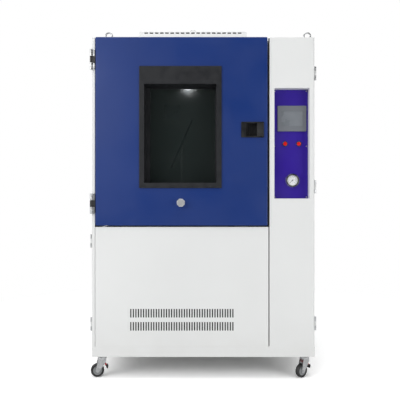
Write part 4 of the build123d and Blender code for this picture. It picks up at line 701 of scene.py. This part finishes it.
# Casters: black coated top plate with four bolts, plated fork with its axle nuts, black rubber tyre on a
# grey nylon hub. The front ones have a brake pedal with a red head, whose neck is black below head_z.
tyre_rubber = moulded("tyre_rubber", (0.016, 0.016, 0.017, 1), 0.35, 0.6, 0.5)
hub_nylon = moulded("hub_nylon", (0.30, 0.31, 0.32, 1), 0.2, 0.45, 0.3)
fork_plate = plated("fork_plate", (0.70, 0.71, 0.72, 1), 0.25, 0.22)
head_z, head_edge = 0.0660, 0.0005
pedal_nylon, tree, shader = material("pedal_nylon", IOR=1.48)
skin = place(tree, rubber_group, Bloom=0.05, Gloss=0.35)
where = add(tree, "SeparateXYZ")
tree.links.new(add(tree, "TexCoord").outputs["Object"], where.inputs[0])
head = ranged(tree, where.outputs["Z"], head_z - head_edge, head_z + head_edge, 0.0, 1.0)
tree.links.new(blend(tree, head, (0.012, 0.012, 0.013, 1), (0.50, 0.010, 0.014, 1)), skin.inputs["Colour"])
tree.links.new(skin.outputs["Colour"], shader.inputs["Base Color"])
tree.links.new(skin.outputs["Roughness"], shader.inputs["Roughness"])

tyre_section = [(25, -9), (26.5, -11.2), (33.5, -12), (35.6, -11), (37.0, -8.6), (37.5, -6),
                (37.5, 6), (37.0, 8.6), (35.6, 11), (33.5, 12), (26.5, 11.2), (25, 9)]
hub_section = [(4.15, -13.1), (8.5, -13.1), (9, -12.6), (11.5, -8), (22, -7.4), (23.5, -9.5), (25.1, -9.8),
               (25.1, 9.8), (23.5, 9.5), (22, 7.4), (11.5, 8), (9, 12.6), (8.5, 13.1), (4.15, 13.1)]
nut_section = [(6.6, 0), (6.6, 3.4), (5.9, 4.4), (3.2, 4.4)]
axle_z, trail, cheek_out = 0.0375, 0.026, 0.0163
plate_z, bolt_dx, bolt_dy, bolt_r, bolt_rise = 0.124, 0.036, 0.029, 6.2 * mm, 0.7
for corner, x, y, yaw in (("front_left", -0.575, -0.478, 15), ("front_right", 0.575, -0.478, 35),
                          ("rear_left", -0.575, 0.498, -20), ("rear_right", 0.575, 0.498, 10)):
    wheel, caster = corner + "_wheel", corner + "_caster"
    ahead = Vector((cos(radians(yaw)), sin(radians(yaw)), 0))
    across = Vector((-sin(radians(yaw)), cos(radians(yaw)), 0))
    hub = Vector((x, y, axle_z)) - ahead * trail
    shade(corner + "_fork", fork_plate)
    tyre = turned(corner + "_tyre", tyre_section, hub, across, 72, tyre_rubber, wheel, True)
    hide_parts(wheel)
    turned(corner + "_hub", hub_section, hub, across, 48, hub_nylon, wheel, True)
    for way, cheek in ((-1, "outer"), (1, "inner")):
        turned(f"{corner}_nut_{cheek}", nut_section, hub + across * (way * cheek_out), across * way, 6,
               fork_plate, caster)
    screws(corner + "_plate_bolts",
           [(x + dx, y + dy, plate_z) for dx in (-bolt_dx, bolt_dx) for dy in (-bolt_dy, bolt_dy)],
           (0, 0, -1), bolt_r, zinc, "cabinet", bolt_rise)
    if corner.startswith("front"):
        shade(corner + "_pedal", pedal_nylon)

# Power gland: a black nylon gland for the supply cable, screwed into the rear panel.
shade("power_gland", latch_nylon)
